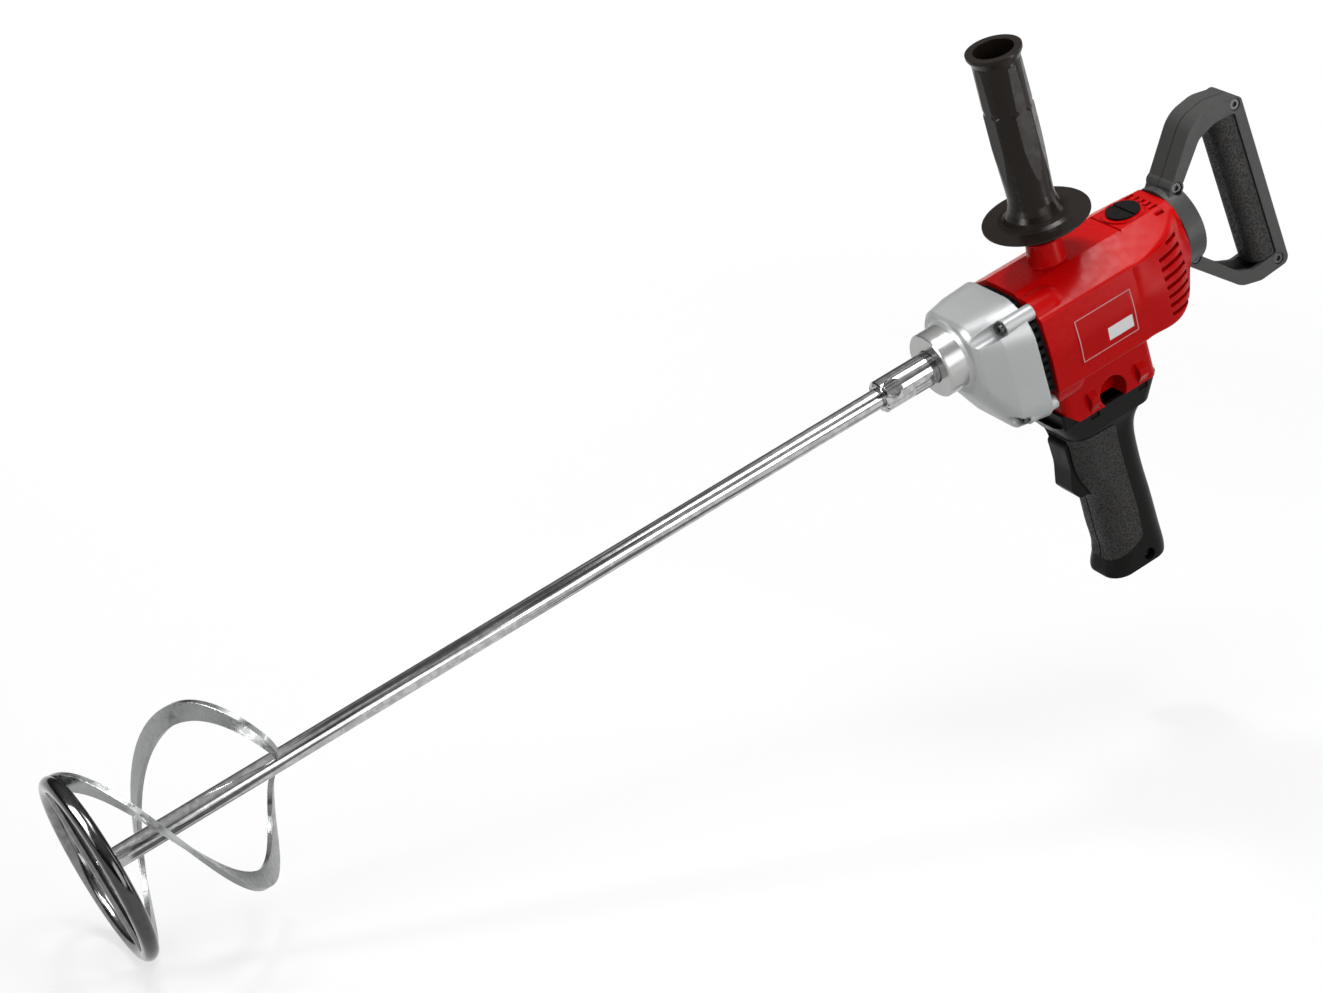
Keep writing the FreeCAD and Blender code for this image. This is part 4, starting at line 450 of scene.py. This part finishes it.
def label_material():
    """Satin red film with a thin pale border and one blank pale field."""
    s = Shader("label_film")
    tone = colour(0.48, 0.0016, 0.0019)
    pale_tone = grey(0.82)
    x0, x1, z0, z1 = LABEL
    to_x = s.math("MINIMUM", s.math("SUBTRACT", s.axes["X"], x0), s.math("SUBTRACT", x1, s.axes["X"]))
    to_z = s.math("MINIMUM", s.math("SUBTRACT", s.axes["Z"], z0), s.math("SUBTRACT", z1, s.axes["Z"]))
    to_edge = s.math("MINIMUM", to_x, to_z)
    border = s.math("MULTIPLY", s.line(to_edge, LABEL_BORDER_INSET, LABEL_BORDER_HALF_WIDTH), 0.55)
    field_x = s.inside(s.axes["X"], *LABEL_FIELD[:2], LABEL_FIELD_BLUR)
    field_z = s.inside(s.axes["Z"], *LABEL_FIELD[2:], LABEL_FIELD_BLUR)
    pale = s.math("MAXIMUM", border, s.math("MULTIPLY", field_x, field_z))
    tint = s.mix(s.noise(scale=60.0), shade(tone, 0.92), shade(tone, 1.08))
    grain = s.noise(scale=500.0)
    s.set(Base_Color=s.mix(pale, tint, pale_tone), Normal=s.bump(grain, 0.04, PAPER_DEPTH))
    s.set(Roughness=s.between(grain, *NOISE_SPAN, 0.30, 0.42), Specular_IOR_Level=0.08)
    return s.material


label = sheet_on("label_plate", "motor_housing", LABEL, LABEL_LIFT, LABEL_THICKNESS, label_material(),
                 LABEL_COLUMNS, LABEL_ROWS)


# Floor, light and camera

def floor_paper():
    """White paper for the camera and darker paper for other light, clear past its rim and from below."""
    s = Shader("floor_paper")
    paper = grey(PAPER_LEVEL)
    grain = s.noise(scale=400.0)
    seen = background_seen(s.tree)
    own_tone = s.mix(grain, shade(paper, 0.995), paper)
    s.set(Base_Color=s.mix(seen, shade(paper, PAPER_SHARE_FOR_OTHER_LIGHT), own_tone))
    s.set(Roughness=0.9, Specular_IOR_Level=0.1, Normal=s.bump(grain, 0.01, PAPER_DEPTH))
    white = s.add("ShaderNodeEmission", Color=grey(1), Strength=1.0)
    lit = s.add("ShaderNodeMixShader", Fac=s.math("MULTIPLY", seen, PAPER_GLOW_SHARE))
    s.put(lit.inputs[1], s.surface.outputs[0])
    s.put(lit.inputs[2], white.outputs[0])
    rim = s.between(s.vector_math("LENGTH", s.place)["Value"], *FLOOR_FADE, 0.0, 1.0)
    underside = s.add("ShaderNodeNewGeometry").outputs["Backfacing"]
    clear = s.add("ShaderNodeBsdfTransparent")
    blend = s.add("ShaderNodeMixShader", Fac=s.math("MAXIMUM", rim, underside))
    s.put(blend.inputs[1], lit.outputs[0])
    s.put(blend.inputs[2], clear.outputs[0])
    s.put(s.tree.nodes["Material Output"].inputs["Surface"], blend.outputs[0])
    return s.material


def floor():
    """Pale disc square to the photograph's upright, just under the paddle's ring."""
    low = UP.dot(RING_CENTRE) - RING_OUTER * math.sqrt(1 - UP.x ** 2) - FLOOR_GAP
    bpy.ops.mesh.primitive_circle_add(vertices=FLOOR_SIDES, radius=FLOOR_RADIUS, fill_type="NGON")
    disc = bpy.context.object
    disc.name = "floor"
    disc.rotation_mode = "QUATERNION"
    disc.rotation_quaternion = UP.to_track_quat("Z", "Y")
    disc.location = FLOOR_MIDDLE + UP * (low - UP.dot(FLOOR_MIDDLE))
    disc.data.materials.append(floor_paper())


def studio():
    """White for the camera, and a soft room that is pale above and below with a darker band around."""
    world = bpy.data.worlds.new("studio")
    scene.world = world
    world.use_nodes = True
    tree = world.node_tree
    height = tree.nodes.new("ShaderNodeVectorMath")
    height.operation = "DOT_PRODUCT"
    put(tree, height.inputs[0], tree.nodes.new("ShaderNodeTexCoord").outputs["Generated"])
    put(tree, height.inputs[1], UP)
    upward = height.outputs["Value"]
    unit = tree.nodes.new("ShaderNodeMapRange")
    for socket, value in zip(unit.inputs, (upward, -1, 1)):
        put(tree, socket, value)
    ramp = tree.nodes.new("ShaderNodeValToRGB")
    put(tree, ramp.inputs[0], unit.outputs[0])
    points = ramp.color_ramp.elements
    while len(points) < len(ROOM_LEVELS):
        points.new(0.5)
    for point, (at, level) in zip(points, ROOM_LEVELS):
        point.position = at
        point.color = grey(level)
    backdrop = tree.nodes.new("ShaderNodeMapRange")
    for socket, value in zip(backdrop.inputs, (upward, *BACKDROP_FADE, 1.0, 0.0)):
        put(tree, socket, value)
    pick = tree.nodes.new("ShaderNodeMix")
    pick.data_type = "RGBA"
    put(tree, pick.inputs["Factor"], background_seen(tree, backdrop.outputs[0]))
    put(tree, pick.inputs["A"], ramp.outputs[0])
    put(tree, pick.inputs["B"], grey(1))
    put(tree, tree.nodes["Background"].inputs["Color"], pick.outputs["Result"])


def softbox(name, target, direction, distance, size, power, seen=True, glints=True, lights=True):
    """Lamp that faces the target; it may be hidden from the camera, from gloss or from matt surfaces."""
    lamp = bpy.data.lights.new(name, "AREA")
    lamp.shape = "RECTANGLE"
    lamp.size, lamp.size_y = size
    lamp.energy = power
    holder = bpy.data.objects.new(name, lamp)
    way = direction.normalized()
    holder.location = target + way * distance
    holder.rotation_mode = "QUATERNION"
    holder.rotation_quaternion = way.to_track_quat("Z", "Y")
    holder.visible_camera = seen
    holder.visible_glossy = glints
    holder.visible_diffuse = lights
    scene.collection.objects.link(holder)


def lamps():
    """Soft studio light all round, and three small lamps that only make glints."""
    large = (1.1, 0.9)
    tall = (0.4, 1.2)
    small = (0.30, 0.30)
    strip = (0.14, 0.30)
    key = UP - CAMERA_FORWARD * 0.10
    top = UP - CAMERA_RIGHT * 0.37 + CAMERA_FORWARD * 0.33
    side = Vector((0.15, -1.0, 0.30))
    back = Vector((0.15, 1.0, 0.30))
    front = -CAMERA_RIGHT * 0.8 - CAMERA_FORWARD * 0.7 + UP * 0.2
    rim = CAMERA_RIGHT * 0.9 + CAMERA_FORWARD * 0.3 + UP * 0.5
    low_left = -CAMERA_RIGHT * 0.85 - CAMERA_FORWARD * 0.55 - UP * 0.12
    low_right = CAMERA_RIGHT * 0.95 - CAMERA_FORWARD * 0.35 - UP * 0.12
    softbox("key", TOOL_MIDDLE, key, distance=1.6, size=(0.8, 0.5), power=9.5)
    softbox("top", TOOL_MIDDLE, top, distance=2.0, size=small, power=12, glints=False)
    softbox("side", TOOL_MIDDLE, side, distance=1.7, size=large, power=14)
    softbox("front", TOOL_MIDDLE, front, distance=1.8, size=tall, power=5)
    softbox("rim", TOOL_MIDDLE, rim, distance=1.6, size=tall, power=5)
    softbox("back", TOOL_MIDDLE, back, distance=1.7, size=large, power=8, glints=False)
    glint = dict(seen=False, lights=False)
    softbox("facet", REAR_HANDLE_FACET, UP, distance=1.5, size=small, power=9.0, **glint)
    softbox("low_left", TOOL_MIDDLE, low_left, distance=0.75, size=strip, power=5.0, **glint)
    softbox("low_right", TOOL_MIDDLE, low_right, distance=0.75, size=strip, power=1.2, **glint)


def camera():
    lens = bpy.data.cameras.new("camera")
    lens.sensor_fit = "HORIZONTAL"
    lens.sensor_width = SENSOR_WIDTH
    lens.lens = CAMERA_LENS
    lens.clip_start = NEAREST_SEEN
    lens.clip_end = FARTHEST_SEEN
    holder = bpy.data.objects.new("camera", lens)
    turn = Matrix((CAMERA_RIGHT, CAMERA_UP, -CAMERA_FORWARD)).transposed().to_4x4()
    holder.matrix_world = Matrix.Translation(CAMERA_PLACE) @ turn
    scene.collection.objects.link(holder)
    scene.camera = holder


floor()
studio()
lamps()
camera()
